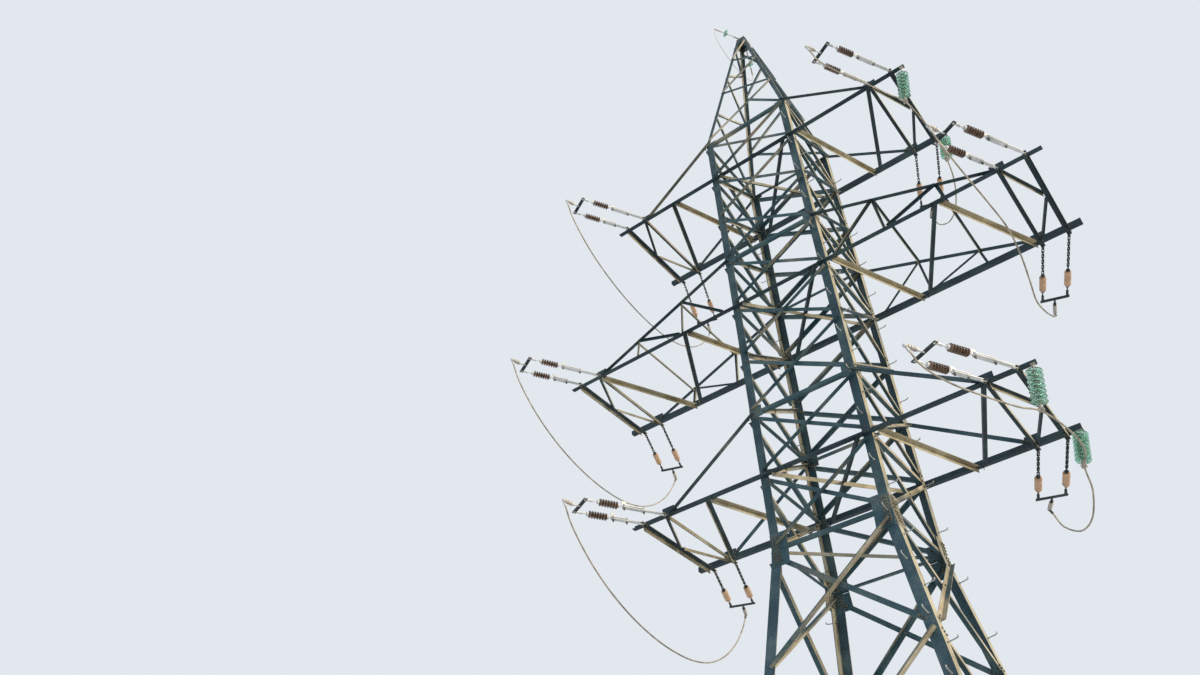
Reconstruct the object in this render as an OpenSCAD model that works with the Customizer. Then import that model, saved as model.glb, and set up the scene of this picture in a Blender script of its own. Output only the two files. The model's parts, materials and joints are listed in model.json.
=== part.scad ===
// Lattice transmission pylon: four angle-steel legs on a splayed base, six crossarms
// and a pointed peak, with its tension strings and jumper loops.
// X runs along the crossarms, -Y is the front, the origin is on the tower's axis at ground level.

/* [Tower] */
// Height of the peak above the ground
tower_h = 24700; // [23800:100:26500]
// Distance between leg heels in the straight part
body_w = 2100; // [1900:50:2400]
// Distance between leg heels at the ground
base_w = 4800; // [4400:100:5600]
// Height of the splice between base and body
waist_z = 9050; // [8700:50:9300]
// Height of the lowest crossarm
low_z = 10500; // [10300:50:10900]
// Height from one crossarm to the next
arm_gap = 4000; // [3700:50:4200]
// Height of the upper panel point of the base
base_upper_z = 7050; // [6800:50:7300]
// Height of the lower panel point of the base
base_lower_z = 4200; // [3800:50:4600]
// Height above the peak's foot at which its zigzag first turns
peak_lower_rise = 1350; // [1200:50:1600]
// Height above the peak's foot at which its zigzag turns for the third time
peak_upper_rise = 3100; // [2900:50:3300]
// Half-width of the peak at its top
peak_tip_half = 110; // [100:5:140]

/* [Legs] */
// Flange width of the base legs
base_leg_a = 180; // [160:10:200]
// Thickness of the base legs
base_leg_t = 14; // [10:1:18]
// Flange width of the body legs
body_leg_a = 160; // [140:10:180]
// Thickness of the body legs
body_leg_t = 12; // [8:1:16]
// Flange width of the peak legs
peak_leg_a = 90; // [80:5:100]
// Thickness of the peak legs
peak_leg_t = 8; // [6:1:10]

/* [Bracing] */
// Flange width of the base diagonals
base_brace_a = 90; // [75:5:100]
// Flange width of the body diagonals
body_brace_a = 75; // [63:1:80]
// Flange width of the peak bracing
peak_brace_a = 50; // [40:5:63]
// Thickness of all bracing
brace_t = 7; // [5:1:9]
// Distance from a leg's heel to the end of a diagonal
brace_end = 62; // [50:2:80]
// Distance from a panel point to the end of a diagonal
panel_gap = 100; // [95:5:130]
// Thickness of the gusset plates
gusset_t = 8; // [6:1:12]
// Width and height of the gusset plates at the crossarm ties
gusset_w = 240; // [200:10:280]

/* [Crossarms] */
// Distance from the axis to the end of the low crossarm
low_reach = 3470; // [3300:10:3600]
// Distance from the axis to the end of the middle crossarm
mid_reach = 4900; // [4700:10:5100]
// Distance from the axis to the end of the top crossarm
top_reach = 3400; // [3250:10:3550]
// Distance from an arm's end member back to its inner strut
string_gap = 490; // [440:10:540]
// Length of the chord ends that stand past the end members
stub_l = 280; // [200:10:340]
// Flange width of the chords
chord_a = 100; // [80:5:100]
// Thickness of the chords
chord_t = 8; // [6:1:10]
// Flange width of the ties
tie_a = 80; // [75:5:90]
// Thickness of the ties
tie_t = 7; // [6:1:8]
// Flange width of the arm lacing
lacing_a = 85; // [75:1:90]
// Flange width of the knees at the arm ends and of the ring at the waist
knee_a = 63; // [50:1:70]
// Flange width of the light members
light_a = 50; // [40:1:56]
// Thickness of lacing and light members
light_t = 5; // [4:1:6]

/* [Footings] */
// Side of the square foot plates
foot_w = 450; // [420:10:500]
// Thickness of the foot plates
foot_t = 25; // [20:1:32]
// Distance between the anchor bolt holes
anchor_gap = 320; // [300:10:330]
// Diameter of the anchor bolt holes
anchor_d = 42; // [30:1:46]

/* [Strings] */
// Angle of the front strings from the line's axis, towards -X
front_turn = 26; // [15:1:30]
// Angle of the back strings from the line's axis, towards -X
back_turn = 20; // [15:1:30]
// Distance from the lugs to the yoke of a front string
front_reach = 1480; // [1400:10:1600]
// Distance from the lugs to the yoke of a back string
back_reach = 1620; // [1550:10:1700]
// Fall of the strings away from the tower, in degrees
string_fall = 3; // [1:0.5:5]
// Number of sheds on a front insulator
shed_n = 7; // [5:1:8]
// Distance from shed to shed
shed_gap = 53; // [48:1:58]
// Diameter of the sheds
shed_d = 138; // [120:2:160]
// Diameter of the barrels of the back insulators
barrel_d = 130; // [110:5:150]
// Length of the barrels of the back insulators
barrel_l = 400; // [350:10:430]
// Width of the link bars next to the front lugs
link_bar_w = 66; // [56:2:70]
// Width of the doubled link bars next to the front insulators
double_bar_w = 86; // [70:2:90]
// Number of discs in a glass support
glass_n = 7; // [5:1:7]
// Distance from disc to disc
glass_gap = 86; // [80:1:89]
// Diameter of the glass discs
glass_d = 245; // [210:5:255]
// Diameter of the jumper conductors
jumper_d = 30; // [24:1:34]

/* [Fit] */
// Clearance between pieces that are bolted together
clear = 0.3; // [0.2:0.1:0.6]

/* [Hidden] */
$fn = 32;

body_half = body_w / 2;
base_half = base_w / 2;
panel_h = arm_gap / 3;
body_top = low_z + 7 * panel_h;
mid_z = low_z + arm_gap;
top_z = mid_z + arm_gap;
base_slope = (base_half - body_half) / waist_z;
peak_slope = (body_half - peak_tip_half) / (tower_h - body_top);
// A sliver by which fused pieces run into each other
bite = 1;
up = [0, 0, 1];
// Half the height between two zigzag bars that end at the same turn, and their end's
// distance from the leg's heel
turn_gap = 45;
turn_end = 40;
tip_plate_h = 250;
// Heights at which the zigzag of the peak starts, turns and ends
peak_turns = let (foot = body_top + 100, low = body_top + peak_lower_rise,
    high = body_top + peak_upper_rise, top = tower_h - 280)
    [foot, low, (low + high) / 2, high, (high + top) / 2, top];

// Route of a plain jumper loop from its arm's middle, front clamp to back clamp
plain_route = [
    [-790, -2740, -190], [-800, -2580, -450], [-795, -2330, -740], [-785, -1980, -1060],
    [-770, -1520, -1370], [-755, -980, -1620], [-745, -380, -1790], [-735, 250, -1870],
    [-725, 880, -1850], [-715, 1480, -1700], [-710, 2040, -1400], [-705, 2520, -990],
    [-700, 2860, -560], [-700, 3030, -270]
];
// Route of the middle right loop, which the wind has swung outwards
swung_route = [
    [-790, -2740, -190], [-760, -2580, -390], [-710, -2330, -600], [-640, -1980, -850],
    [-560, -1520, -1080], [-500, -980, -1270], [-540, -380, -1400], [-630, 250, -1460],
    [-720, 880, -1450], [-700, 1480, -1300], [-680, 2040, -1000], [-690, 2520, -680],
    [-700, 2860, -400], [-700, 3030, -270]
];
// Routes of the loops that hang on two glass supports, at their points 5 and 8
top_held_route = [
    [-790, -2740, -190], [-720, -2560, -420], [-500, -2240, -640], [-200, -1780, -760],
    [60, -1320, -855], [260, -880, -840], [350, -300, -900], [380, 400, -910],
    [330, 1050, -860], [230, 1560, -1020], [0, 2120, -1120], [-300, 2640, -960],
    [-580, 2950, -620], [-690, 3030, -270]
];
low_held_route = [
    [-790, -2740, -190], [-720, -2560, -400], [-500, -2240, -620], [-180, -1780, -760],
    [110, -1380, -845], [320, -1050, -830], [480, -380, -860], [500, 330, -840],
    [330, 950, -790], [240, 1500, -920], [0, 2120, -1040], [-300, 2640, -940],
    [-580, 2950, -620], [-690, 3030, -270]
];
// Level and reach of the three pairs of arms
arms = [[low_z, low_reach], [mid_z, mid_reach], [top_z, top_reach]];
// The right arms with glass supports, and those supports' points on the routes
support_arms = [arms[0], arms[2]];
support_points = [5, 8];

lug_w = 80;
lug_l = 150;
lug_t = 14;
lug_hole = 26;
// Distance from the axis to the lug's hole
lug_y = body_half + clear + chord_a + 40;
// Seat of the ties outside the chords' standing flanges and the gussets
tie_seat = body_half + clear + max(gusset_t, chord_t) + clear;
tie_plate_w = 260;
tie_plate_h = 110;
// Points along the long arm's ties, as shares of the way from the arm's end to the leg
post_shares = [0.3, 0.64];

// Length of the sheds, and the distances from an insulator's end to its yoke
shed_l = shed_n * shed_gap;
shed_end = 260;
barrel_end = 310;
// Metal caps of the insulators, and the rod between them and the fittings
cap_l = 28;
cap_d = 74;
rod_d = 24;
// The upright plate at the end of the doubled link bars
fin_l = 90;
fin_h = 88;
fin_t = 12;
// Chain links of the back strings
link_gap = 70;
link_w = 50;
link_t = 14;
// Yoke plates and how far they run past the strings
yoke_w = 70;
yoke_t = 16;
yoke_past = 40;
// Distance from the lowest disc of a glass support to the middle of its clamp
support_end = 110;
support_clamp = [90, 90, 24];

function half_at(z) = z < waist_z ? body_half + base_slope * (waist_z - z)
    : z > body_top ? body_half - peak_slope * (z - body_top) : body_half;
function slope_at(z) = z < waist_z ? base_slope : z > body_top ? peak_slope : 0;
function unit(v) = v / norm(v);
// Outward normal of the front face at the height z
function face_normal(z) = unit([0, -1, slope_at(z)]);
// Point on the front face, seen from outside, with off measured outwards
function on_face(x, z, zs, off) = [x, -half_at(z), z] + off * face_normal(zs);
function mirrored(points, side) = [for (p = points) [side * p.x, p.y]];
function angle_points(a, t) = [[-a / 2, 0], [a / 2, 0], [a / 2, a], [a / 2 - t, a],
    [a / 2 - t, t], [-a / 2, t]];

// Lays what is drawn along Z from p to q, with the drawing's Y as near to n as it goes
module lay(p, q, n) {
    d = unit(q - p);
    b = acos(d.z);
    c = atan2(d.y, d.x);
    across = [cos(b) * cos(c), cos(b) * sin(c), -sin(b)];
    level = [-sin(c), cos(c), 0];
    translate(p) rotate([0, b, c]) rotate([0, 0, atan2(-across * n, level * n)]) children();
}

// Angle bar from p to q: one flange lies flat on the line, the other stands out along n
module angle_bar(p, q, n, a, t, side = 1) {
    lay(p, q, n) linear_extrude(norm(q - p)) polygon(mirrored(angle_points(a, t), side));
}

// Bar on the front face: the outer layer lies on the legs, the inner one behind their flanges
module face_bar(x0, z0, x1, z1, a, leg_t, outer = true, side = 1) {
    zs = (z0 + z1) / 2;
    off = outer ? clear : -leg_t - clear;
    n = (outer ? 1 : -1) * face_normal(zs);
    angle_bar(on_face(x0, z0, zs, off), on_face(x1, z1, zs, off), n, a, brace_t, side);
}

module turned(k) {
    rotate([0, 0, 90 * k]) children();
}

// Plan of the leg at the corner of +X and -Y, with its heel at the distance w from both axes
function leg_plan(w, a, t) = [[w, -w], [w, -w + a], [w - t, -w + a], [w - t, -w + t],
    [w - a, -w + t], [w - a, -w]];

// Leg that runs from the half-width w0 at z0 to w1 at z1
module sloping_leg(z0, w0, z1, w1, a, t) {
    n = 6;
    points = concat([for (p = leg_plan(w0, a, t)) [p.x, p.y, z0]],
        [for (p = leg_plan(w1, a, t)) [p.x, p.y, z1]]);
    sides = [for (i = [0:n - 1]) [i, i + n, (i + 1) % n + n, (i + 1) % n]];
    // each end of the leg is two convex faces, one for each flange
    flanges = [[0, 1, 2, 3], [0, 3, 4, 5]];
    ends = concat(flanges, [for (f = flanges) [for (i = [3:-1:0]) f[i] + n]]);
    polyhedron(points, concat(ends, sides), convexity = 4);
}

// Crossing diagonals between two levels of the front face, tied where they cross
module cross_panel(z0, z1, gap0, gap1, a, leg_t, end, flip = 1) {
    za = z0 + gap0;
    zb = z1 - gap1;
    xa = half_at(za) - end;
    xb = half_at(zb) - end;
    face_bar(-flip * xa, za, flip * xb, zb, a, leg_t, true, -flip);
    face_bar(flip * xa, za, -flip * xb, zb, a, leg_t, false, 1);
}

// Packing disc between the diagonals of a panel where they cross
module packing(z0, z1, gap0, gap1, leg_t, end, d) {
    za = z0 + gap0;
    zb = z1 - gap1;
    xa = half_at(za) - end;
    xb = half_at(zb) - end;
    z = za + (zb - za) * xa / (xa + xb);
    n = face_normal(z);
    p = on_face(0, z, z, -leg_t - clear - bite);
    lay(p, p + n, up) cylinder(d = d, h = leg_t + 2 * clear + 2 * bite, $fn = 12);
}

module gusset(x, z, w, h) {
    zs = z;
    p = on_face(x, z - h / 2, zs, clear);
    q = on_face(x, z + h / 2, zs, clear);
    lay(p, q, face_normal(zs)) translate([-w / 2, 0, 0]) cube([w, gusset_t, norm(q - p)]);
}

// Foot plates with anchor holes and two ribs each
module foot_plates() {
    rib_h = 220;
    rib_l = foot_w / 2 - base_leg_a / 2 - 20;
    rib_t = 12;
    heel = half_at(foot_t);
    mid = base_half - base_leg_a / 2;
    color("slategray") for (k = [0:3]) turned(k) {
        difference() {
            translate([mid - foot_w / 2, -mid - foot_w / 2, 0]) cube([foot_w, foot_w, foot_t]);
            for (sx = [-1, 1], sy = [-1, 1])
                translate([mid + sx * anchor_gap / 2, -mid + sy * anchor_gap / 2, -bite])
                    cylinder(d = anchor_d, h = foot_t + 2 * bite);
        }
        for (side = [0, 1]) mirror([side, side, 0])
            translate([0, -mid + rib_t / 2, 0]) rotate([90, 0, 0]) linear_extrude(rib_t)
                polygon([
                    [heel + clear, foot_t - bite], [heel + rib_l, foot_t - bite],
                    [heel + rib_l, foot_t + 20],
                    [heel + clear - base_slope * rib_h + 15, foot_t + rib_h],
                    [heel + clear - base_slope * rib_h, foot_t + rib_h]
                ]);
    }
}

module base_leg(k) {
    z0 = foot_t + clear;
    color("slategray") turned(k)
        sloping_leg(z0, half_at(z0), waist_z - clear, half_at(waist_z - clear), base_leg_a, base_leg_t);
}

module body_leg(k) {
    color("slategray") turned(k) translate([0, 0, waist_z])
        linear_extrude(body_top - waist_z) polygon(leg_plan(body_half, body_leg_a, body_leg_t));
}

// Three crossed panels of one face of the base, with the gussets below the splice
module base_bracing(k) {
    levels = [foot_t + 260, base_lower_z, base_upper_z, waist_z];
    gaps = [0, 60, 60, 130];
    gw = 320;
    gh = 300;
    color("darkslategray") turned(k) {
        for (i = [0:2])
            cross_panel(levels[i], levels[i + 1], gaps[i], gaps[i + 1], base_brace_a,
                base_leg_t, i == 2 ? brace_end + 40 : brace_end);
        for (s = [-1, 1])
            gusset(s * (half_at(waist_z - gh / 2) - gw / 2 - 4), waist_z - gh / 2 - 6, gw, gh);
    }
}

// Struts round the waist and a diagonal across it
module waist_ring() {
    z = waist_z + light_a / 2 + 20;
    reach = body_half - body_leg_t - clear;
    under = z - knee_a / 2;
    color("darkslategray") {
        for (k = [0:3]) turned(k)
            angle_bar([-reach + light_a, -reach, z], [reach - light_a, -reach, z], [0, 1, 0],
                knee_a, light_t);
        corner = reach - knee_a;
        angle_bar([-corner, -corner, under + bite], [corner, corner, under + bite], -up,
            knee_a, light_t);
        for (k = [1, 3]) turned(k)
            translate([reach - knee_a - 60, -reach + light_t / 2, under - light_t - 1])
                cube([knee_a + 60 - light_t, knee_a + 50, light_t + 3]);
    }
}

// Bent cover plates over the leg splices
module splice_plates() {
    h = 260;
    w = 110;
    t = 10;
    seat = body_half + clear + gusset_t + clear;
    low = seat + base_slope * h;
    color("dimgray") for (k = [0:3]) turned(k) for (side = [0, 1]) mirror([side, side, 0])
        translate([body_half - 30 - w, 0, 0]) rotate([90, 0, 90]) linear_extrude(w)
            polygon([[-seat, waist_z + h], [-seat, waist_z], [-low, waist_z - h],
                [-low - t, waist_z - h], [-seat - t, waist_z], [-seat - t, waist_z + h]]);
}

// Crossed panels of one face of the body, with gussets at the waist and at the ties
module body_bracing(k) {
    gw = 300;
    gh = 300;
    across = k % 2 == 1;
    color("darkslategray") turned(k) {
        cross_panel(waist_z, low_z, 130, panel_gap, body_brace_a, body_leg_t, brace_end + 40);
        packing(waist_z, low_z, 130, panel_gap, body_leg_t, brace_end + 40, body_brace_a * 0.8);
        for (i = [0:6]) {
            z0 = low_z + i * panel_h;
            cross_panel(z0, z0 + panel_h, panel_gap, panel_gap, body_brace_a, body_leg_t,
                brace_end);
            packing(z0, z0 + panel_h, panel_gap, panel_gap, body_leg_t, brace_end,
                body_brace_a * 0.8);
        }
        for (s = [-1, 1]) {
            gusset(s * (body_half - gw / 2 - 4), waist_z + gh / 2 + 2, gw, gh);
            for (i = [1, 4, 7])
                gusset(s * (body_half - gusset_w / 2 - 4), low_z + i * panel_h - (i == 7 ? 60 : 0),
                    gusset_w, i == 7 ? 110 : gusset_w);
        }
        levels = across ? [0, 1, 3, 4, 6, 7] : [1, 4, 7];
        for (i = levels) {
            z = low_z + i * panel_h - (i == 7 ? body_brace_a / 2 + 4 : 0);
            face_bar(-body_half + 90, z, body_half - 90, z, body_brace_a, body_leg_t, false);
        }
    }
}

// Four legs that meet at the tip
module peak_legs() {
    z0 = body_top + clear;
    color("slategray") for (k = [0:3]) turned(k)
        sloping_leg(z0, half_at(z0), tower_h, half_at(tower_h), peak_leg_a, peak_leg_t);
}

// Zigzag bars on the four sides of the peak, with a plate between the legs under the tip
module peak_bracing() {
    color("darkslategray") for (k = [0:3]) turned(k) {
        for (i = [0:len(peak_turns) - 2]) {
            side = i % 2 == 0 ? -1 : 1;
            z0 = peak_turns[i] + turn_gap;
            z1 = peak_turns[i + 1] - turn_gap;
            face_bar(side * (half_at(z0) - turn_end), z0, -side * (half_at(z1) - turn_end), z1,
                peak_brace_a, peak_leg_t, true, side);
        }
        gusset(0, tower_h - tip_plate_h / 2 - 15, 2 * peak_tip_half - 8, tip_plate_h);
    }
}

// Plate and lug on the tip
module peak_cap() {
    w = peak_tip_half + 10;
    color("dimgray") {
        translate([-w, -w, tower_h + clear]) cube([2 * w, 2 * w, 12]);
        difference() {
            translate([-60, -6, tower_h + 12 - bite]) cube([120, 12, 110]);
            translate([0, -10, tower_h + 80]) rotate([-90, 0, 0]) cylinder(d = 26, h = 20);
        }
    }
}

// Lower frame of a pair of crossarms: chords through the body, end members and lacing
module arm_frame(z, reach, long) {
    zb = z - chord_a / 2;
    y = body_half + clear;
    rail = y + chord_a / 2;
    hang = reach - string_gap;
    first = body_half + 150;
    near = long ? 2150 : 2060;
    far = 3300;
    apart = lacing_a / 2 + 4;
    seat = zb + bite;
    color("darkslategray") {
        for (k = [0, 2]) turned(k) {
            // the bars of both arms hang their standing flange on the same side
            side = k == 0 ? 1 : -1;
            // plates that carry the feet of the ties
            for (sx = [-1, 1])
                translate([sx * hang - tie_plate_w / 2, -y - chord_t, zb + chord_a - bite])
                    cube([tie_plate_w, chord_t, tie_plate_h + bite]);
            // chord: a standing flange against the legs and a level one that points outwards
            translate([-reach - stub_l, 0, zb]) rotate([90, 0, 90])
                linear_extrude(2 * (reach + stub_l))
                    polygon([[-y, 0], [-y, chord_a], [-y - chord_t, chord_a],
                        [-y - chord_t, chord_t], [-y - chord_a, chord_t], [-y - chord_a, 0]]);
            // end member, inner strut and knees of the right arm
            angle_bar([reach, -rail, seat], [reach, rail, seat], -up, chord_a, chord_t, 1);
            angle_bar([hang, -rail, seat], [hang, rail, seat], -up, tie_a, tie_t, side);
            for (s = [-1, 1])
                angle_bar([hang + 30, s * (rail - 20), seat], [reach - 40, s * 60, seat], -up,
                    knee_a, light_t, s);
            // lacing
            angle_bar([first, -rail, seat], [near - apart, rail, seat], -up, lacing_a, light_t,
                -side);
            if (long) {
                angle_bar([near + apart, rail, seat], [far - apart, -rail, seat], -up, lacing_a,
                    light_t, side);
                angle_bar([far + apart, -rail, seat], [hang - apart, rail, seat], -up, lacing_a,
                    light_t, -side);
            } else
                angle_bar([near + apart, rail, seat], [hang - apart, -rail, seat], -up,
                    lacing_a, light_t, side);
            // lugs for the strings
            for (x = [reach, hang]) for (s = [-1, 1]) lug(x, s, zb);
        }
        // diagonals across the body
        for (s = [-1, 1])
            angle_bar([-s * (body_half - 230), -rail, seat], [s * (body_half - 230), rail, seat],
                -up, lacing_a, light_t, s);
    }
}

module lug(x, s, zb) {
    mirror([0, s < 0 ? 0 : 1, 0]) difference() {
        translate([x - lug_w / 2, -lug_y - 40, zb - lug_t + bite]) cube([lug_w, lug_l, lug_t]);
        translate([x, -lug_y, zb - lug_t - bite]) cylinder(d = lug_hole, h = lug_t + 4 * bite);
    }
}

// One tie from the chord near the arm's end up to the leg, its flange along the lower edge if low
module tie(z, reach, s, low) {
    hang = reach - string_gap;
    top = z + panel_h;
    p = [hang - 30, s * tie_seat, z + 10];
    q = [body_half - 60, s * tie_seat, top];
    angle_bar(p, q, [0, s, 0], tie_a, tie_t, low ? -s : s);
}

// Ties of a pair of arms; the front ones have their flange below, the back ones above
module arm_ties(z, reach) {
    color("darkslategray") for (k = [0, 2]) turned(k) for (s = [-1, 1])
        tie(z, reach, s, k == 0 ? s < 0 : s > 0);
}

function tie_point(share, s) = let (hang = mid_reach - string_gap)
    [hang - 30 + share * (body_half - 60 - hang + 30), s * tie_seat, mid_z + 10 + share * (panel_h - 10)];

// Tie of a long arm with its posts and diagonals down to the chord
module tie_truss(s, low) {
    foot_z = mid_z + 20;
    n = [0, s, 0];
    color("darkslategray") {
        tie(mid_z, mid_reach, s, low);
        for (share = post_shares) {
            p = tie_point(share, s);
            foot = [p.x + 60, p.y, foot_z];
            angle_bar(p, foot, n, light_a, light_t, s);
        }
        a = tie_point(post_shares[0], s);
        b = tie_point(post_shares[1], s);
        angle_bar(a, [b.x + 120, a.y, foot_z], n, light_a, light_t, s);
        angle_bar(b, [body_half + 220, b.y, foot_z], n, light_a, light_t, s);
    }
}

// Struts between the ties of the long arms
module mid_tie_struts() {
    color("darkslategray") for (k = [0, 2]) turned(k) for (share = post_shares) {
        p = tie_point(share, -1);
        q = tie_point(share, 1);
        z = p.z - tie_a / 2 - 20;
        reach = tie_seat - clear;
        angle_bar([p.x, -reach, z], [q.x, reach, z], [1, 0, 0], light_a, light_t);
    }
}

function turn_dir(turn, s) = [-sin(turn) * cos(string_fall), s * cos(turn) * cos(string_fall),
    -sin(string_fall)];
function arm_mid(reach, side) = side * (reach - string_gap / 2);

// The two strings of one arm: from its lugs to the ends of their yoke
function string_ends(z, reach, side, s, turn, length) =
    let (d = turn_dir(turn, s),
         lug_z = z - chord_a / 2 - lug_t / 2,
         centre = [arm_mid(reach, side), s * lug_y, lug_z] + length * d,
         across = unit(cross(up, d)) * string_gap / 2 * cos(turn))
    [for (e = [0, 1])
        let (x = side * (e == 0 ? reach : reach - string_gap), lug = [x, s * lug_y, lug_z],
             a = centre + across, b = centre - across)
        [lug, (x - arm_mid(reach, side)) * across.x > 0 ? a : b]];

// Flat bar with round ends, from z0 to z1 along Z
module flat_link(z0, z1, w, t) {
    rotate([90, 0, 0]) linear_extrude(t, center = true) {
        translate([-w / 2, z0]) square([w, z1 - z0]);
        for (z = [z0, z1]) translate([0, z]) circle(d = w, $fn = 16);
    }
}

// Forked shackle whose pin goes through a lug's hole, drawn along Z from the pin
module shackle() {
    r = lug_hole / 2 - 0.7;
    ear = 14;
    open = lug_t + 8;
    rotate([90, 0, 0]) cylinder(r = r, h = open + 2 * ear, center = true, $fn = 16);
    for (s = [-1, 1]) translate([-18, s * (open + ear) / 2 - ear / 2, -18]) cube([36, ear, 100]);
    translate([-18, -open / 2 - ear, 62]) cube([36, open + 2 * ear, 30]);
}

module cross_pin(z, d, l) {
    translate([0, 0, z]) rotate([90, 0, 0]) cylinder(d = d, h = l, center = true, $fn = 12);
}

// Two link bars in a row, the second one doubled and with a fin
module front_links(l) {
    split = l * 0.45;
    rod_l = 90;
    end = l - rod_l - double_bar_w / 2;
    flat_link(90, split, link_bar_w, 16);
    cross_pin(split, 34, 62);
    for (s = [-1, 1]) translate([0, s * 14, 0]) flat_link(split, end, double_bar_w, 12);
    translate([-fin_t / 2, 14, end - fin_l / 2]) cube([fin_t, 6 + fin_h, fin_l]);
    cross_pin(end, 34, 56);
    translate([0, 0, end - 10]) cylinder(d = rod_d, h = l - end + 10 - cap_l, $fn = 16);
    insulator_cap(l - cap_l - clear);
}

// Metal cap cemented on an insulator's end
module insulator_cap(z) {
    translate([0, 0, z]) cylinder(d = cap_d, h = cap_l, $fn = 16);
}

// Welded chain from the shackle to the insulator, its links fused where they bear
module chain(l) {
    foot = 91;
    run = l - 60 - foot - 2 * link_t + bite;
    n = round(run / link_gap);
    pitch = run / n;
    hole = pitch - bite;
    for (i = [0:n - 1]) translate([0, 0, foot + link_t + hole / 2 + i * pitch])
        rotate([90, 0, i % 2 * 90]) linear_extrude(link_t, center = true) difference() {
            square([link_w, hole + 2 * link_t], center = true);
            square([link_w - 2 * link_t + 2, hole], center = true);
        }
    translate([0, 0, l - 61]) cylinder(d = rod_d, h = 61 - cap_l, $fn = 16);
    insulator_cap(l - cap_l - clear);
}

module front_string_fittings() {
    color("gainsboro") for (arm = arms, side = [-1, 1]) string_set(arm, side, -1);
}

module back_string_fittings() {
    color("gainsboro") for (arm = arms, side = [-1, 1]) string_set(arm, side, 1);
}

function route_shape(arm, side) = side < 0 ? plain_route : arm[0] == mid_z ? swung_route
    : arm[0] == low_z ? low_held_route : top_held_route;
function route_of(arm, side) = [for (p = route_shape(arm, side))
    p + [arm_mid(arm[1], side), 0, arm[0]]];

module rod(p, q, d, fn = 16) {
    lay(p, q, up) cylinder(d = d, h = norm(q - p), $fn = fn);
}

// All the metal of one arm's pair of strings, with the yoke and the clamp that holds the jumper
module string_set(arm, side, s) {
    turn = s < 0 ? front_turn : back_turn;
    length = s < 0 ? front_reach : back_reach;
    ends = string_ends(arm[0], arm[1], side, s, turn, length);
    d = turn_dir(turn, s);
    centre = (ends[0][1] + ends[1][1]) / 2;
    past = s < 0 ? shed_end : barrel_end;
    body = s < 0 ? shed_l : barrel_l;
    for (e = ends) {
        l = norm(e[1] - e[0]);
        lay(e[0], e[1], up) {
            shackle();
            if (s < 0)
                front_links(l - past - body);
            else
                chain(l - past - body);
            insulator_cap(l - past + clear);
            translate([0, 0, l - past + cap_l]) cylinder(d = rod_d, h = past - cap_l - 20, $fn = 16);
            // ball end and forked link that hold the yoke
            translate([0, 0, l - past / 2]) sphere(d = 52, $fn = 16);
            flat_link(l - past / 2, l, 44, 20);
        }
    }
    // yoke
    away = unit(ends[1][1] - ends[0][1]) * yoke_past;
    lay(ends[0][1] - away, ends[1][1] + away, up) translate([-yoke_w / 2, -yoke_t / 2, 0])
        cube([yoke_w, yoke_t, norm(ends[1][1] - ends[0][1]) + 2 * yoke_past]);
    // strain clamp and the mouth that the jumper leaves
    route = route_of(arm, side);
    a = s < 0 ? route[0] : route[len(route) - 1];
    b = s < 0 ? route[1] : route[len(route) - 2];
    out = unit(a - b);
    tail = a + out * 110;
    rod(a + out * clear, tail, 46);
    rod(centre, centre + d * 140, 34);
    rod(centre + d * 120, tail, 58);
    translate(tail) sphere(d = 66, $fn = 24);
}

// Turned porcelain body with its sheds, from z0 along Z
module sheds(z0, d) {
    core = 60;
    translate([0, 0, z0]) rotate_extrude($fn = 24) polygon(concat([[0, 0]],
        [for (i = [0:shed_n - 1], p = [[core / 2, 0], [core / 2, 0.3], [d / 2 - 4, 0.34],
            [d / 2, 0.42], [d / 2 - 3, 0.52], [core / 2, 0.74]]) [p.x, (i + p.y) * shed_gap]],
        [[core / 2, shed_l], [0, shed_l]]));
}

// Barrel with shallow ribs, from z0 along Z
module barrel(z0) {
    ribs = 6;
    gap = barrel_l / (ribs + 1);
    r = barrel_d / 2;
    translate([0, 0, z0]) rotate_extrude($fn = 24) polygon(concat([[0, 0], [r * 0.6, 0],
        [r * 0.84, gap * 0.4]], [for (i = [0:ribs - 1], p = [[0.84, 0.6], [1, 0.8], [1, 1.2],
            [0.84, 1.4]]) [p.x * r, (i + p.y) * gap]],
        [[r * 0.84, barrel_l - gap * 0.4], [r * 0.6, barrel_l], [0, barrel_l]]));
}

module insulators(s) {
    turn = s < 0 ? front_turn : back_turn;
    length = s < 0 ? front_reach : back_reach;
    for (arm = arms, side = [-1, 1])
        for (e = string_ends(arm[0], arm[1], side, s, turn, length)) {
            l = norm(e[1] - e[0]);
            lay(e[0], e[1], up)
                if (s < 0)
                    sheds(l - shed_end - shed_l, shed_d);
                else
                    barrel(l - barrel_end - barrel_l);
        }
}

module front_insulators() {
    color("saddlebrown") insulators(-1);
}

module back_insulators() {
    color("peru") insulators(1);
}

// Glass supports hang from the chord ends of the low and top right arms
function support_top(arm, s) = [arm[1] + stub_l - 60, s * (body_half + clear + chord_a / 2),
    arm[0] - chord_a / 2 - clear];
// Middle of a support's clamp, which lies on the jumper
function support_foot(arm, s) = route_of(arm, 1)[support_points[s < 0 ? 0 : 1]]
    + [0, 0, jumper_d / 2 + clear + support_clamp.z / 2];

module support_fittings() {
    color("gainsboro") for (arm = support_arms, s = [-1, 1]) {
        p = support_top(arm, s);
        q = support_foot(arm, s);
        l = norm(q - p);
        discs = glass_n * glass_gap;
        translate(p - [40, 40, 12]) cube([80, 80, 12]);
        rod(p - [0, 0, 10], p + unit(q - p) * (l - support_end - discs - clear), rod_d);
        // tapered clamp body
        lay(q - unit(q - p) * (support_end - clear), q, up)
            cylinder(d1 = 50, d2 = 76, h = support_end - support_clamp.z / 2, $fn = 16);
        translate(q - support_clamp / 2) cube(support_clamp);
    }
}

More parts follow.
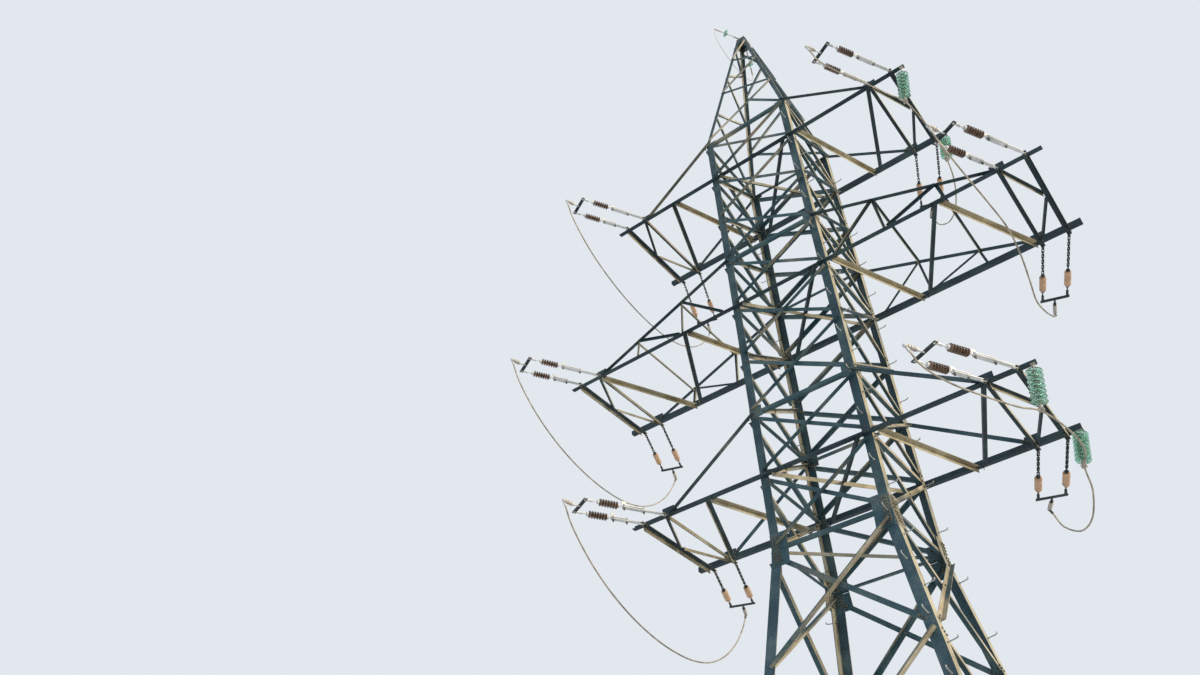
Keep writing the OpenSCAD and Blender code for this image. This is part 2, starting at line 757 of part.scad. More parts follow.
// Cap-and-pin discs: iron caps are drawn with the glass bells they carry
module glass_disc(z0) {
    translate([0, 0, z0]) rotate_extrude($fn = 24) polygon([[0, 0], [38, 0], [40, 38],
        [70, 44], [glass_d / 2, 66], [glass_d / 2, 73], [62, 62], [34, 68], [20, glass_gap],
        [0, glass_gap]]);
}

module support_discs() {
    color("mediumseagreen") for (arm = support_arms, s = [-1, 1]) {
        p = support_top(arm, s);
        q = support_foot(arm, s);
        l = norm(q - p);
        lay(p, q, up) for (i = [0:glass_n - 1])
            glass_disc(l - support_end - (glass_n - i) * glass_gap);
    }
}

// Tube swept along a route's points
module swept(route, d) {
    sides = 8;
    n = len(route);
    tangent = [for (i = [0:n - 1]) unit(route[min(i + 1, n - 1)] - route[max(i - 1, 0)])];
    points = [for (i = [0:n - 1])
        let (u = unit(cross(tangent[i], [1, 0, 0])), v = cross(tangent[i], u))
        for (j = [0:sides - 1]) route[i] + d / 2 * (cos(360 * j / sides) * u + sin(360 * j / sides) * v)];
    walls = [for (i = [0:n - 2], j = [0:sides - 1])
        [i * sides + j, i * sides + (j + 1) % sides, (i + 1) * sides + (j + 1) % sides,
            (i + 1) * sides + j]];
    polyhedron(points, concat([[for (j = [0:sides - 1]) sides - 1 - j]],
        [[for (j = [0:sides - 1]) (n - 1) * sides + j]], walls), convexity = 6);
}

module jumper(arm, side) {
    color("silver") swept(route_of(arm, side), jumper_d);
}

foot_plates();
base_leg(0);  // base_leg_front_right
base_leg(1);  // base_leg_back_right
base_leg(2);  // base_leg_back_left
base_leg(3);  // base_leg_front_left
base_bracing(0);  // base_bracing_front
base_bracing(1);  // base_bracing_right
base_bracing(2);  // base_bracing_back
base_bracing(3);  // base_bracing_left
waist_ring();
splice_plates();
body_leg(0);  // body_leg_front_right
body_leg(1);  // body_leg_back_right
body_leg(2);  // body_leg_back_left
body_leg(3);  // body_leg_front_left
body_bracing(0);  // body_bracing_front
body_bracing(1);  // body_bracing_right
body_bracing(2);  // body_bracing_back
body_bracing(3);  // body_bracing_left
peak_legs();
peak_bracing();
peak_cap();
arm_frame(low_z, low_reach, false);  // low_arm_frame
arm_frame(mid_z, mid_reach, true);  // mid_arm_frame
arm_frame(top_z, top_reach, false);  // top_arm_frame
arm_ties(low_z, low_reach);  // low_arm_ties
arm_ties(top_z, top_reach);  // top_arm_ties
turned(2) tie_truss(1, true);  // mid_left_front_truss
turned(2) tie_truss(-1, false);  // mid_left_back_truss
tie_truss(-1, true);  // mid_right_front_truss
tie_truss(1, false);  // mid_right_back_truss
mid_tie_struts();
front_string_fittings();
front_insulators();
back_string_fittings();
back_insulators();
support_fittings();
support_discs();
jumper(arms[0], -1);  // low_left_jumper
jumper(arms[1], -1);  // mid_left_jumper
jumper(arms[2], -1);  // top_left_jumper
jumper(arms[0], 1);  // low_right_jumper
jumper(arms[1], 1);  // mid_right_jumper
jumper(arms[2], 1);  // top_right_jumper
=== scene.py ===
import json
import math

import bpy
from mathutils import Matrix, Vector


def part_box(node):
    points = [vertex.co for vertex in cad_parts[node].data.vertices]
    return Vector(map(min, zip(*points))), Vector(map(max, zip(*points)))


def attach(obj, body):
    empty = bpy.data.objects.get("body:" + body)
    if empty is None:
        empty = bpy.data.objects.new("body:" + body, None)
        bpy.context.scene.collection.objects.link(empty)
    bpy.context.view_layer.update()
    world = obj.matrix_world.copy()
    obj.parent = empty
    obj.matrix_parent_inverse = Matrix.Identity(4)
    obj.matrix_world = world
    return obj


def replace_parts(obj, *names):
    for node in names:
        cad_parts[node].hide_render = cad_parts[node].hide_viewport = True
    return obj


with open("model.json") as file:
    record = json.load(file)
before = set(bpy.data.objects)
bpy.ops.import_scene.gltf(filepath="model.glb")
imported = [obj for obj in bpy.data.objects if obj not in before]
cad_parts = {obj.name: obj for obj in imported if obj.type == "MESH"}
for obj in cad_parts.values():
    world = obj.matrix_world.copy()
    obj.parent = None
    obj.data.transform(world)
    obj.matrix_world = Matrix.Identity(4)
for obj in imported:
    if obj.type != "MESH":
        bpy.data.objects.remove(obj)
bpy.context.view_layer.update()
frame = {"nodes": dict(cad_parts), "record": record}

nodes = frame["nodes"]
print("frame loaded,", len(nodes), "nodes")

# The tower's own sizes in metres. What a node's box can give is read from the frame.
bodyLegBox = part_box("body_leg_front_right")
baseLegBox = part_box("base_leg_front_right")
tower = {
    "bodyHalf": bodyLegBox[1].x,
    "waist": bodyLegBox[0].z,
    "bodyTop": bodyLegBox[1].z,
    "footHalf": baseLegBox[1].x,
    "footZ": baseLegBox[0].z,
    "peakTop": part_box("peak_legs")[1].z,
    "tipHalf": 0.110,
    "baseLegT": 0.014,  # thickness of each angle and plate
    "bodyLegT": 0.012,
    "peakLegT": 0.008,
    "chordT": 0.008,
    "chordW": 0.100,
    "barT": 0.007,
    "lightT": 0.005,
    "gussetT": 0.008,
    "coverT": 0.010,
    "clear": 0.0003,
    "lowArm": 10.5,
    "armGap": 4.0,
    "armReach": (3.47, 4.90, 3.40),
    "hangGap": 0.49,  # from an arm's end member back to its inner strut
    "baseLevels": (0.285, 4.2, 7.05, 9.05),
    "lugY": 1.1903,  # from the axis to the holes of the strings' lugs
    "lugDrop": 0.057,  # from an arm's level down to them
}
panel = tower["armGap"] / 3
levels = [tower["lowArm"] + i * panel for i in range(8)]
armNames = ("low", "mid", "top")
armZ = (levels[0], levels[3], levels[6])
armReach = tower["armReach"]
railY = tower["bodyHalf"] + tower["clear"] + tower["chordW"] / 2  # middle of a chord's level flange
tieSeat = tower["bodyHalf"] + 2 * tower["clear"] + tower["gussetT"]
baseSlope = (tower["footHalf"] - tower["bodyHalf"]) / (tower["waist"] - tower["footZ"])
peakSlope = (tower["bodyHalf"] - tower["tipHalf"]) / (tower["peakTop"] - tower["bodyTop"])
up = Vector((0, 0, 1))


def slopeAt(z):
    if z < tower["waist"]:
        return baseSlope
    return peakSlope if z > tower["bodyTop"] else 0.0


def halfAt(z):
    if z < tower["waist"]:
        return tower["bodyHalf"] + baseSlope * (tower["waist"] - z)
    return tower["bodyHalf"] - slopeAt(z) * (z - tower["bodyTop"])


def faceNormal(z):
    return Vector((0, -1, slopeAt(z))).normalized()


def onFace(x, z):  # a point on the outside of the front legs' flanges
    return Vector((x, -halfAt(z), z))


def turned(k):  # 0 front, 1 right, 2 back, 3 left
    return Matrix.Rotation(math.radians(90 * k), 3, "Z")


# Camera at the photograph's angle, solved from the tower's own joints
camera = {
    "place": (5.134, -13.608, 1.649),
    "turn": 37.289,  # degrees from +Y towards -X
    "tilt": 41.548,
    "roll": -1.783,
    "lens": 28.08,  # mm
    "sensor": 36.0,
    "clip": 500,
}


def makeCamera():
    turn, tilt, roll = (math.radians(camera[k]) for k in ("turn", "tilt", "roll"))
    ahead = Vector((-math.sin(turn) * math.cos(tilt), math.cos(turn) * math.cos(tilt), math.sin(tilt)))
    level = Vector((math.cos(turn), math.sin(turn), 0))
    right = math.cos(roll) * level + math.sin(roll) * level.cross(ahead)
    data = bpy.data.cameras.new("camera")
    data.sensor_width, data.lens, data.clip_end = (camera[k] for k in ("sensor", "lens", "clip"))
    body = bpy.data.objects.new("camera", data)
    axes = Matrix((right, right.cross(ahead), -ahead)).transposed()
    body.matrix_world = Matrix.Translation(camera["place"]) @ axes.to_4x4()
    bpy.context.scene.collection.objects.link(body)
    bpy.context.scene.camera = body


makeCamera()
print("camera placed")


def newPiece(name, mesh, slot, material):
    piece = bpy.data.objects.new(name, mesh)
    bpy.context.scene.collection.objects.link(piece)
    if material and not mesh.materials:
        mesh.materials.append(material)
    if slot:
        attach(piece, "root")
    return piece


def newMesh(name, points, faces, smoothAngle=None):
    mesh = bpy.data.meshes.new(name)
    mesh.from_pydata([tuple(p) for p in points], [], faces)
    mesh.update()
    if smoothAngle:
        mesh.shade_smooth()
        mesh.set_sharp_from_angle(angle=math.radians(smoothAngle))
    return mesh


# Jumper loops: the routes of the part's source, in mm from the middle of the arm's end
jumper = {
    "diameter": 0.030,
    "strands": 12,
    "groove": 0.13,  # depth of the groove between strands, as a share of the radius
    "lay": 0.30,  # m along the conductor for one turn of a strand
    "ringGap": 0.03,
    "plain": (
        (-790, -2740, -190), (-800, -2580, -450), (-795, -2330, -740), (-785, -1980, -1060),
        (-770, -1520, -1370), (-755, -980, -1620), (-745, -380, -1790), (-735, 250, -1870),
        (-725, 880, -1850), (-715, 1480, -1700), (-710, 2040, -1400), (-705, 2520, -990),
        (-700, 2860, -560), (-700, 3030, -270)),
    "swung": (
        (-790, -2740, -190), (-760, -2580, -390), (-710, -2330, -600), (-640, -1980, -850),
        (-560, -1520, -1080), (-500, -980, -1270), (-540, -380, -1400), (-630, 250, -1460),
        (-720, 880, -1450), (-700, 1480, -1300), (-680, 2040, -1000), (-690, 2520, -680),
        (-700, 2860, -400), (-700, 3030, -270)),
    "topHeld": (
        (-790, -2740, -190), (-720, -2560, -420), (-500, -2240, -640), (-200, -1780, -760),
        (60, -1320, -855), (260, -880, -840), (350, -300, -900), (380, 400, -910), (330, 1050, -860),
        (230, 1560, -1020), (0, 2120, -1120), (-300, 2640, -960), (-580, 2950, -620), (-690, 3030, -270)),
    "lowHeld": (
        (-790, -2740, -190), (-720, -2560, -400), (-500, -2240, -620), (-180, -1780, -760),
        (110, -1380, -845), (320, -1050, -830), (480, -380, -860), (500, 330, -840), (330, 950, -790),
        (240, 1500, -920), (0, 2120, -1040), (-300, 2640, -940), (-580, 2950, -620), (-690, 3030, -270)),
}


def inMetres(points):
    return [Vector([c / 1000 for c in p]) for p in points]


def routeOf(arm, side):
    kind = ("lowHeld", "swung", "topHeld")[arm] if side > 0 else "plain"
    middle = Vector((side * (armReach[arm] - tower["hangGap"] / 2), 0, armZ[arm]))
    return [middle + p for p in inMetres(jumper[kind])]


def smoothPath(route, gap):  # a Catmull-Rom curve through the route's points
    ends = [2 * route[0] - route[1]] + route + [2 * route[-1] - route[-2]]
    points = []
    for a, b, c, d in zip(ends, ends[1:], ends[2:], ends[3:]):
        steps = max(2, round((c - b).length / gap))
        for i in range(steps):
            t = i / steps
            points.append(0.5 * (2 * b + (c - a) * t + (2 * a - 5 * b + 4 * c - d) * t ** 2
                                 + (3 * b - a - 3 * c + d) * t ** 3))
    return points + [route[-1].copy()]


def circle(radius, sides):
    angles = [math.tau * j / sides for j in range(sides)]
    return [(radius * math.cos(a), radius * math.sin(a)) for a in angles]


def tubeFaces(rings, count):  # a tube of rings of points, closed at both ends
    faces = []
    for start in range(0, (rings - 1) * count, count):
        for j in range(count):
            k = (j + 1) % count
            faces.append((start + j, start + k, start + count + k, start + count + j))
    last = (rings - 1) * count
    return faces + [tuple(reversed(range(count))), tuple(range(last, last + count))]


def sweep(path, ring):  # ring(distance) gives the section's points as (across, above) pairs
    points, run = [], 0.0
    across = Vector((1, 0, 0))
    for i, p in enumerate(path):
        ahead = (path[min(i + 1, len(path) - 1)] - path[max(i - 1, 0)]).normalized()
        across = (across - across.dot(ahead) * ahead).normalized()
        above = ahead.cross(across)
        run += (p - path[i - 1]).length if i else 0.0
        points += [p + x * across + y * above for x, y in ring(run)]
    return points, tubeFaces(len(path), len(points) // len(path))


def strandRing(run):
    count = jumper["strands"] * 2
    radii = (jumper["diameter"] / 2, jumper["diameter"] / 2 * (1.0 - jumper["groove"]))
    angles = [math.tau * (run / jumper["lay"] + j / count) for j in range(count)]
    return [(radii[j % 2] * math.cos(a), radii[j % 2] * math.sin(a)) for j, a in enumerate(angles)]


def makeJumper(arm, side):
    name = f"{armNames[arm]}_{'right' if side > 0 else 'left'}_jumper"
    path = smoothPath(routeOf(arm, side), jumper["ringGap"])
    mesh = newMesh(name, *sweep(path, strandRing))
    piece = newPiece(name + "_conductor", mesh, "stranded_conductor", None)
    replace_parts(piece, name)
    return piece


jumpers = [makeJumper(arm, side) for arm in range(3) for side in (-1, 1)]
print("jumpers laid")


# A hex code is a colour as screens show it, and Blender's sockets want it linear
def linear(code):
    values = [int(code[i:i + 2], 16) / 255 for i in (1, 3, 5)]
    return tuple(v / 12.92 if v <= 0.04045 else ((v + 0.055) / 1.055) ** 2.4 for v in values) + (1.0,)


def setNode(tree, node, settings):  # a field of the node, or a value, link or node for a socket
    for name, value in settings.items():
        if name == "stops":  # a colour ramp's places and colours
            while len(node.color_ramp.elements) < len(value):
                node.color_ramp.elements.new(0.5)
            for element, (place, code) in zip(node.color_ramp.elements, value):
                element.position, element.color = place, linear(code)
        elif isinstance(name, str) and hasattr(node, name):
            setattr(node, name, value)
        elif isinstance(value, list) or hasattr(value, "outputs") or hasattr(value, "is_output"):
            for given in value if isinstance(value, list) else [value]:
                tree.links.new(given.outputs[0] if hasattr(given, "outputs") else given, node.inputs[name])
        else:
            isColour = isinstance(value, str) and value.startswith("#")
            node.inputs[name].default_value = linear(value) if isColour else value


def addNode(tree, kind, settings):
    node = tree.nodes.new(kind)
    setNode(tree, node, settings)
    return node


def reckon(tree, operation, *values):
    return addNode(tree, "ShaderNodeMath", {"operation": operation, **dict(enumerate(values))})


def remap(tree, value, low, high, newLow=0.0, newHigh=1.0):
    return addNode(tree, "ShaderNodeMapRange", {"Value": value, "From Min": low, "From Max": high,
                                                "To Min": newLow, "To Max": newHigh})


def noise(tree, spot, scale, detail, roughness=0.5):
    return addNode(tree, "ShaderNodeTexNoise", {"Scale": scale, "Detail": detail, "Roughness": roughness,
                                                "Vector": spot})


def ramp(tree, value, stops):
    return addNode(tree, "ShaderNodeValToRGB", {"stops": list(stops), "Fac": value})


def blend(tree, share, below, above, kind="MIX"):
    return addNode(tree, "ShaderNodeMix", {"data_type": "RGBA", "blend_type": kind, 0: share, 6: below,
                                           7: above}).outputs[2]


def newMaterial(name, metallic, roughness):
    material = bpy.data.materials.new(name)
    material.use_nodes = True
    tree = material.node_tree
    shader = tree.nodes["Principled BSDF"]
    setNode(tree, shader, {"Metallic": metallic, "Roughness": roughness})
    return material, tree, shader, addNode(tree, "ShaderNodeTexCoord", {}).outputs


wearAndPaintedLight = {
    "from": (0.95, 0.20, 0.24),  # the side from which the painted sunlight falls
    "paintedSunlight": (0.35, 1.05),  # how far a face turns that way where the painted sunlight starts, and where it is full
    # each noise: scale per m, detail and roughness
    "blotch": (1.7, 6.0, 0.62),  # patches of dulled zinc about 0.6 m wide
    "grain": (38.0, 4.0, 0.65),  # zinc bloom about 26 mm wide
    "patch": (6.5, 9.0, 0.72),  # rust patches about 150 mm wide
    "bar": (0.8, 0.0),  # the painted sunlight differs from bar to bar, over about 1.2 m
    "streak": (1.0, 5.0, 0.7),
    "stretch": (11.0, 11.0, 0.9),  # makes the streaks runs about 90 mm wide and 1.1 m long
    "tones": (0.46, 0.68, 0.92),  # where a finish has its dark, middle and light tone
    "bloom": 0.4,  # share of the bloom in the tone
    "fray": 0.5,  # how far the runs fray the painted sunlight's edge
    "bump": (0.3, 0.002),  # strength of the bloom's relief, and its height in m
    "run": (0.55, 0.75, 0.0, 0.45),  # where a run starts and is full, and how strong it is there
    "runTone": "#6a6252",
    "spangle": 85.0,  # zinc crystals of 12 mm
    "spangleShare": 0.1,
    "rustEdge": 0.1,
    "lacingY": 1.03,  # the arms' lacing lies within this distance of the axis
    "underside": -0.9,  # a normal's z under which a face counts as one
    "rough": (-0.12, 0.22),  # how far the dulled patches change the roughness
}


# Hot-dip galvanised angle after decades outdoors: dull blue-grey zinc with painted shade on the faces turned
# away from the light, a painted sunlit straw colour on the faces turned towards it, dark runs down the flanges
# and scattered patches of rust.
# Some steel has the painted sunlight on some bars and not on others. Lacing has painted sunlight on its
# undersides too.
def weatheredZincWithPaintedLight(name, paintedShade, paintedSunlight, rust, rustShare, metallic=0.12, roughness=0.6, patchy=0.0, litLacingStretches=()):
    material, tree, shader, place = newMaterial(name, metallic, roughness)
    spot = place["Object"]
    blotch, grain, patch = (noise(tree, spot, *wearAndPaintedLight[kind]) for kind in ("blotch", "grain", "patch"))
    stretched = addNode(tree, "ShaderNodeMapping", {"Scale": wearAndPaintedLight["stretch"], "Vector": spot})
    streak = noise(tree, stretched, *wearAndPaintedLight["streak"])
    spangle = addNode(tree, "ShaderNodeTexVoronoi", {"Scale": wearAndPaintedLight["spangle"], "Vector": spot})
    tone = reckon(tree, "MULTIPLY_ADD", grain, wearAndPaintedLight["bloom"], blotch)
    shaded, paintedLit = (ramp(tree, tone, zip(wearAndPaintedLight["tones"], codes)) for codes in (paintedShade, paintedSunlight))
    # Painted light: faces turned towards the light's side take the painted sunlit tones, the others keep the
    # painted shade tones
    facing = addNode(tree, "ShaderNodeVectorMath", {"operation": "DOT_PRODUCT", 0: place["Normal"],
                                                    1: wearAndPaintedLight["from"]})
    paintedLitShare = reckon(tree, "MULTIPLY_ADD", streak, wearAndPaintedLight["fray"], facing.outputs["Value"])
    # Bars differ at random in how much painted sunlight they get
    if patchy:
        byBar = noise(tree, spot, *wearAndPaintedLight["bar"])
        paintedLitShare = reckon(tree, "ADD", paintedLitShare, reckon(tree, "MULTIPLY_ADD", byBar, patchy, -patchy / 2))
    # Painted sunlight on the undersides of the arms' lacing, along the listed stretches
    if litLacingStretches:
        where, aim = (addNode(tree, "ShaderNodeSeparateXYZ", {"Vector": v}).outputs
                      for v in (spot, place["Normal"]))
        below = reckon(tree, "LESS_THAN", aim["Z"], wearAndPaintedLight["underside"])
        inner = reckon(tree, "LESS_THAN", reckon(tree, "ABSOLUTE", where["Y"]), wearAndPaintedLight["lacingY"])
        paintedLitUndersides = reckon(tree, "MULTIPLY", below, inner)
        out = reckon(tree, "ABSOLUTE", where["X"])
        for start, stop in litLacingStretches:
            within = reckon(tree, "COMPARE", out, (start + stop) / 2, (stop - start) / 2)
            paintedLitShare = reckon(tree, "MULTIPLY_ADD", paintedLitUndersides, within, paintedLitShare)
    zinc = blend(tree, remap(tree, paintedLitShare, *wearAndPaintedLight["paintedSunlight"]), shaded, paintedLit)
    crystal = blend(tree, wearAndPaintedLight["spangleShare"], zinc, spangle.outputs["Color"], "SOFT_LIGHT")
    streaked = blend(tree, remap(tree, streak, *wearAndPaintedLight["run"]), crystal, wearAndPaintedLight["runTone"], "MULTIPLY")
    rusted = remap(tree, patch, 1.0 - rustShare, 1.0 + wearAndPaintedLight["rustEdge"] - rustShare)
    rough = remap(tree, blotch, 0.0, 1.0, *(roughness + change for change in wearAndPaintedLight["rough"]))
    strength, height = wearAndPaintedLight["bump"]
    bump = addNode(tree, "ShaderNodeBump", {"Strength": strength, "Distance": height, "Height": grain})
    coat = blend(tree, rusted, streaked, rust)
    setNode(tree, shader, {"Base Color": coat, "Roughness": rough, "Normal": bump})
    return material


# In each finish the first tones are painted shade for faces turned from the light, the second painted sunlight
# for faces turned to it
legPaintedSunlight = ("#8b8168", "#bab093", "#dfd7bd")
armPaintedSunlight = ("#81765a", "#b5a988", "#e0d7bd")
legSteel = weatheredZincWithPaintedLight("galvanisedLegAngle", ("#1f3946", "#324f5a", "#5f7678"), legPaintedSunlight, "#6b4a30", 0.36)
baseLegSteel = weatheredZincWithPaintedLight("galvanisedBaseLegAngle", ("#244250", "#3b5966", "#6a8086"), legPaintedSunlight,
                             "#6b4a30", 0.36)
bracingSteel = weatheredZincWithPaintedLight("galvanisedBracingAngle", ("#21434f", "#3c5e68", "#6a7e7e"),
                             ("#857963", "#b8aa8c", "#e2d8c4"), "#63452b", 0.36, patchy=2.6)
peakSteel = weatheredZincWithPaintedLight("galvanisedPeakAngle", ("#2a4a55", "#4b6a72", "#80908e"),
                          ("#a1977f", "#cdc3ad", "#efe8d9"), "#63452b", 0.34, patchy=2.2)
armSteel = weatheredZincWithPaintedLight("galvanisedArmAngle", ("#142832", "#24404a", "#4a5f5e"), armPaintedSunlight, "#46341f", 0.37,
                         patchy=0.9)
tieSteel = weatheredZincWithPaintedLight("galvanisedTieAngle", ("#1b3946", "#2c4d5a", "#557077"),
                         ("#3c5558", "#6d7a70", "#c9c1a8"), "#46341f", 0.35)
# Which stretches of each arm, from the axis outwards, have painted sunlight on the undersides of their lacing
paintedLitLacing = {"Low": ((1.15, 2.02),), "Middle": ((1.15, 2.12), (3.34, 4.35)), "Top": ((1.15, 2.02),)}
frameSteel = [weatheredZincWithPaintedLight(f"galvanised{arm}Frame", ("#142631", "#223c48", "#455c5f"), armPaintedSunlight, "#46341f",
                            0.37, patchy=0.5, litLacingStretches=litLacingStretches)
              for arm, litLacingStretches in paintedLitLacing.items()]
plateSteel = weatheredZincWithPaintedLight("galvanisedPlate", ("#33474c", "#4f615f", "#77837b"),
                           ("#766a4f", "#9f9374", "#c8bf9f"), "#5f4129", 0.40)
fittingSteel = weatheredZincWithPaintedLight("galvanisedForging", ("#aab2b8", "#d9dee2", "#f4f5f6"),
                             ("#cfcdc5", "#edebe5", "#faf9f6"), "#7a5c41", 0.30, 0.15, 0.45)
darkForging = weatheredZincWithPaintedLight("dulledForging", ("#141f26", "#25323a", "#485257"),
                            ("#4a4236", "#7b7262", "#a59c88"), "#55391f", 0.40, 0.3, 0.55)
castAluminium = weatheredZincWithPaintedLight("weatheredCastAluminium", ("#8c8a86", "#b9b4ae", "#dcd8d2"),
                              ("#b5ab9d", "#d9d1c4", "#f0ebe2"), "#8a6a50", 0.36, 0.2, 0.5)
boltSteel = weatheredZincWithPaintedLight("spunGalvanisedBolt", ("#32393a", "#565a57", "#8b8878"),
                          ("#6d624c", "#978b73", "#c2b79c"), "#5d4630", 0.38)
stepSteel = weatheredZincWithPaintedLight("galvanisedStepRod", ("#7d8486", "#a7acac", "#cdd0cd"),
                          ("#a29f95", "#cfccc2", "#eae8df"), "#6b5036", 0.38, 0.3, 0.45)


porcelain = {
    "cloud": (9.0, 5.0),  # scale per m and detail
    "speck": (55.0, 6.0),
    "tones": (0.35, 0.7),
    "dust": (0.5, 0.72, 0.0, 0.55),  # where dust starts and is full, and its shares there
    "gloss": (0.0, 1.0, 0.16, 0.42),
    "coat": {"IOR": 1.54, "Coat Weight": 0.35, "Coat Roughness": 0.1},
}


# Glazed porcelain: a hard gloss over cloudy brown clay, with specks of dust that dull it
def glazedPorcelain(name, deep, light, dust):
    material, tree, shader, place = newMaterial(name, 0.0, 0.24)
    cloud, speck = (noise(tree, place["Object"], *porcelain[kind]) for kind in ("cloud", "speck"))
    glaze = ramp(tree, cloud, zip(porcelain["tones"], (deep, light)))
    coat = blend(tree, remap(tree, speck, *porcelain["dust"]), glaze, dust)
    dull = remap(tree, speck, *porcelain["gloss"])
    setNode(tree, shader, {**porcelain["coat"], "Base Color": coat, "Roughness": dull})
    return material


brownPorcelain = glazedPorcelain("brownGlazedPorcelain", "#4c382c", "#7d6350", "#a48e78")
tanPorcelain = glazedPorcelain("tanGlazedPorcelain", "#b98f6c", "#e3ba94", "#ecd6b6")


def cloudedFinish(name, metallic, roughness, cloud, stops, more):  # a colour that drifts between two tones
    material, tree, shader, place = newMaterial(name, metallic, roughness)
    tone = ramp(tree, noise(tree, place["Object"], *cloud), stops)
    setNode(tree, shader, {"Base Color": tone, **more})
    return material


# Toughened glass, green from its iron: clear, and deeper where one wall is seen through another
greenGlass = cloudedFinish("toughenedGreenGlass", 0.0, 0.05, (14.0, 3.0), ((0.3, "#9fdfcb"), (0.7, "#def5e6")),
                           {"IOR": 1.45, "Transmission Weight": 0.86})
# Stranded aluminium conductor, dulled by its oxide and faintly tan with dust
conductor = cloudedFinish("weatheredStrandedAluminium", 0.45, 0.5, (7.0, 8.0),
                          ((0.3, "#8b8478"), (0.7, "#cfc6b4")), {})

slotMaterials = {
    "leg_steel": legSteel, "bracing_steel": bracingSteel, "arm_steel": armSteel, "plate_steel": plateSteel,
    "footing_steel": plateSteel, "fitting_steel": fittingSteel, "brown_porcelain": brownPorcelain,
    "tan_porcelain": tanPorcelain, "green_glass": greenGlass, "stranded_conductor": conductor,
}
nodeMaterials = {  # where a node's finish differs from that of its slot
    "back_string_fittings": darkForging, "support_fittings": castAluminium,
    "peak_bracing": peakSteel, "low_arm_ties": tieSteel,
    **{f"{name}_arm_frame": finish for name, finish in zip(armNames, frameSteel)},
    **{f"base_leg_{corner}": baseLegSteel
       for corner in ("front_right", "back_right", "back_left", "front_left")},
}
for part in frame["record"]["subparts"]:
    piece = nodes[part["node"]]
    finish = nodeMaterials.get(part["node"], slotMaterials[part["material_slot"]])
    for place in piece.material_slots:
        place.material = finish
    if not piece.material_slots:
        piece.data.materials.append(finish)
for piece in jumpers:
    piece.data.materials.append(conductor)
print("materials set")

# Tension strings: where the part's source lays them, and the turned outlines of what hangs in them
strings = {
    "turn": {-1: 26, 1: 20},  # degrees from the line's axis, front and back
    "fall": 3,
    "reach": {-1: 1.480, 1: 1.620},  # from the lugs to the yoke
    "sheds": 7,
    "shedGap": 0.053,
    "shedEnd": 0.260,  # from the porcelain to the yoke
    "neck": 0.030,
    # radius in m and height as a share of the gap, with a rounded rim and a drip edge under it
    "shed": ((0.030, 0.00), (0.031, 0.20), (0.040, 0.28), (0.057, 0.30), (0.0645, 0.29), (0.0680, 0.32),
             (0.0690, 0.38), (0.0680, 0.44), (0.0630, 0.50), (0.048, 0.58), (0.036, 0.70), (0.031, 0.88)),
    "barrel": (0.065, 0.400),  # radius and length
    "barrelEnd": 0.310,
    "barrelFoot": ((0.60, 0.000), (0.78, 0.012)),  # share of the radius, and height in m
    "barrelTop": ((0.80, -0.012), (0.60, 0.000)),
    "ribs": 6,
    "ribEnds": 0.3,  # plain stretch before the first rib and after the last, in ribs
    "ribDepth": 0.18,
    "ribEdge": 0.45,  # the lower, the squarer a rib
    "ribSteps": (0.0, 0.06, 0.14, 0.26, 0.5, 0.74, 0.86, 0.94),
    "yoke": (0.073, 0.019),  # a little over the solid yokes
    "yokeOver": 0.0415,
    "barEdge": 0.2,  # chamfer of a flat bar, as a share of its thickness
    "sides": 32,
    "clampSides": 20,
    "clampFrom": 0.130,  # from the yoke's middle
    "clampOver": 0.110,  # past the jumper's end
    "clampTube": 0.0305,
    # radius past the tube's, and height from the nose, from a keeper's middle and from the mouth
    "nose": ((-0.0125, 0.000), (-0.004, 0.004)),
    "keepers": (0.20, 0.45, 0.70),
    "keeper": ((0.000, -0.020), (0.009, -0.015), (0.009, 0.015), (0.000, 0.020)),
    "mouth": ((0.000, -0.030), (0.004, -0.010), (-0.002, 0.012)),
}
supports = {
    "discs": 7,
    "gap": 0.086,
    "end": 0.110,
    "hook": (0.220, 1.1003, 0.0503),  # out past the arm's end, from the axis, and down from the arm's level
    "points": {-1: 5, 1: 8},  # the jumper's route points under them
    "clamp": 0.0273,  # from the jumper's middle to the clamp's
    # outside of one disc's glass: smooth dome, rolled rim, three ribs underneath
    "bell": ((0.036, 0.030), (0.060, 0.036), (0.090, 0.046), (0.112, 0.056), (0.1215, 0.064), (0.1225, 0.070),
             (0.1190, 0.0735), (0.112, 0.069), (0.102, 0.066), (0.098, 0.078), (0.093, 0.066), (0.080, 0.063),
             (0.076, 0.077), (0.071, 0.062), (0.058, 0.060), (0.054, 0.074), (0.049, 0.061), (0.030, 0.062)),
    "cap": ((0.020, 0.000), (0.031, 0.002), (0.037, 0.008), (0.038, 0.020), (0.042, 0.026), (0.043, 0.036),
            (0.039, 0.040), (0.016, 0.040)),
    "pin": ((0.016, 0.058), (0.016, 0.066), (0.010, 0.070), (0.010, 0.087)),
    "sides": (36, 20, 20),
}


def eachString():  # arm, side of the tower, and -1 for a front string or 1 for a back one
    return [(arm, side, s) for arm in range(3) for side in (-1, 1) for s in (-1, 1)]


def stringWay(s):
    t, fall = math.radians(strings["turn"][s]), math.radians(strings["fall"])
    return Vector((-math.sin(t) * math.cos(fall), s * math.cos(t) * math.cos(fall), -math.sin(fall)))


def stringLines(arm, side, s):  # the two lines from lug to yoke, the yoke's middle and the strings' way
    d, half = stringWay(s), tower["hangGap"] / 2
    level = Vector((side * (armReach[arm] - half), s * tower["lugY"], armZ[arm] - tower["lugDrop"]))
    centre = level + strings["reach"][s] * d
    across = up.cross(d).normalized() * half * math.cos(math.radians(strings["turn"][s]))
    if across.x * side < 0:
        across.negate()
    out = Vector((side * half, 0, 0))
    return [(level + out, centre + across), (level - out, centre - across)], centre, d


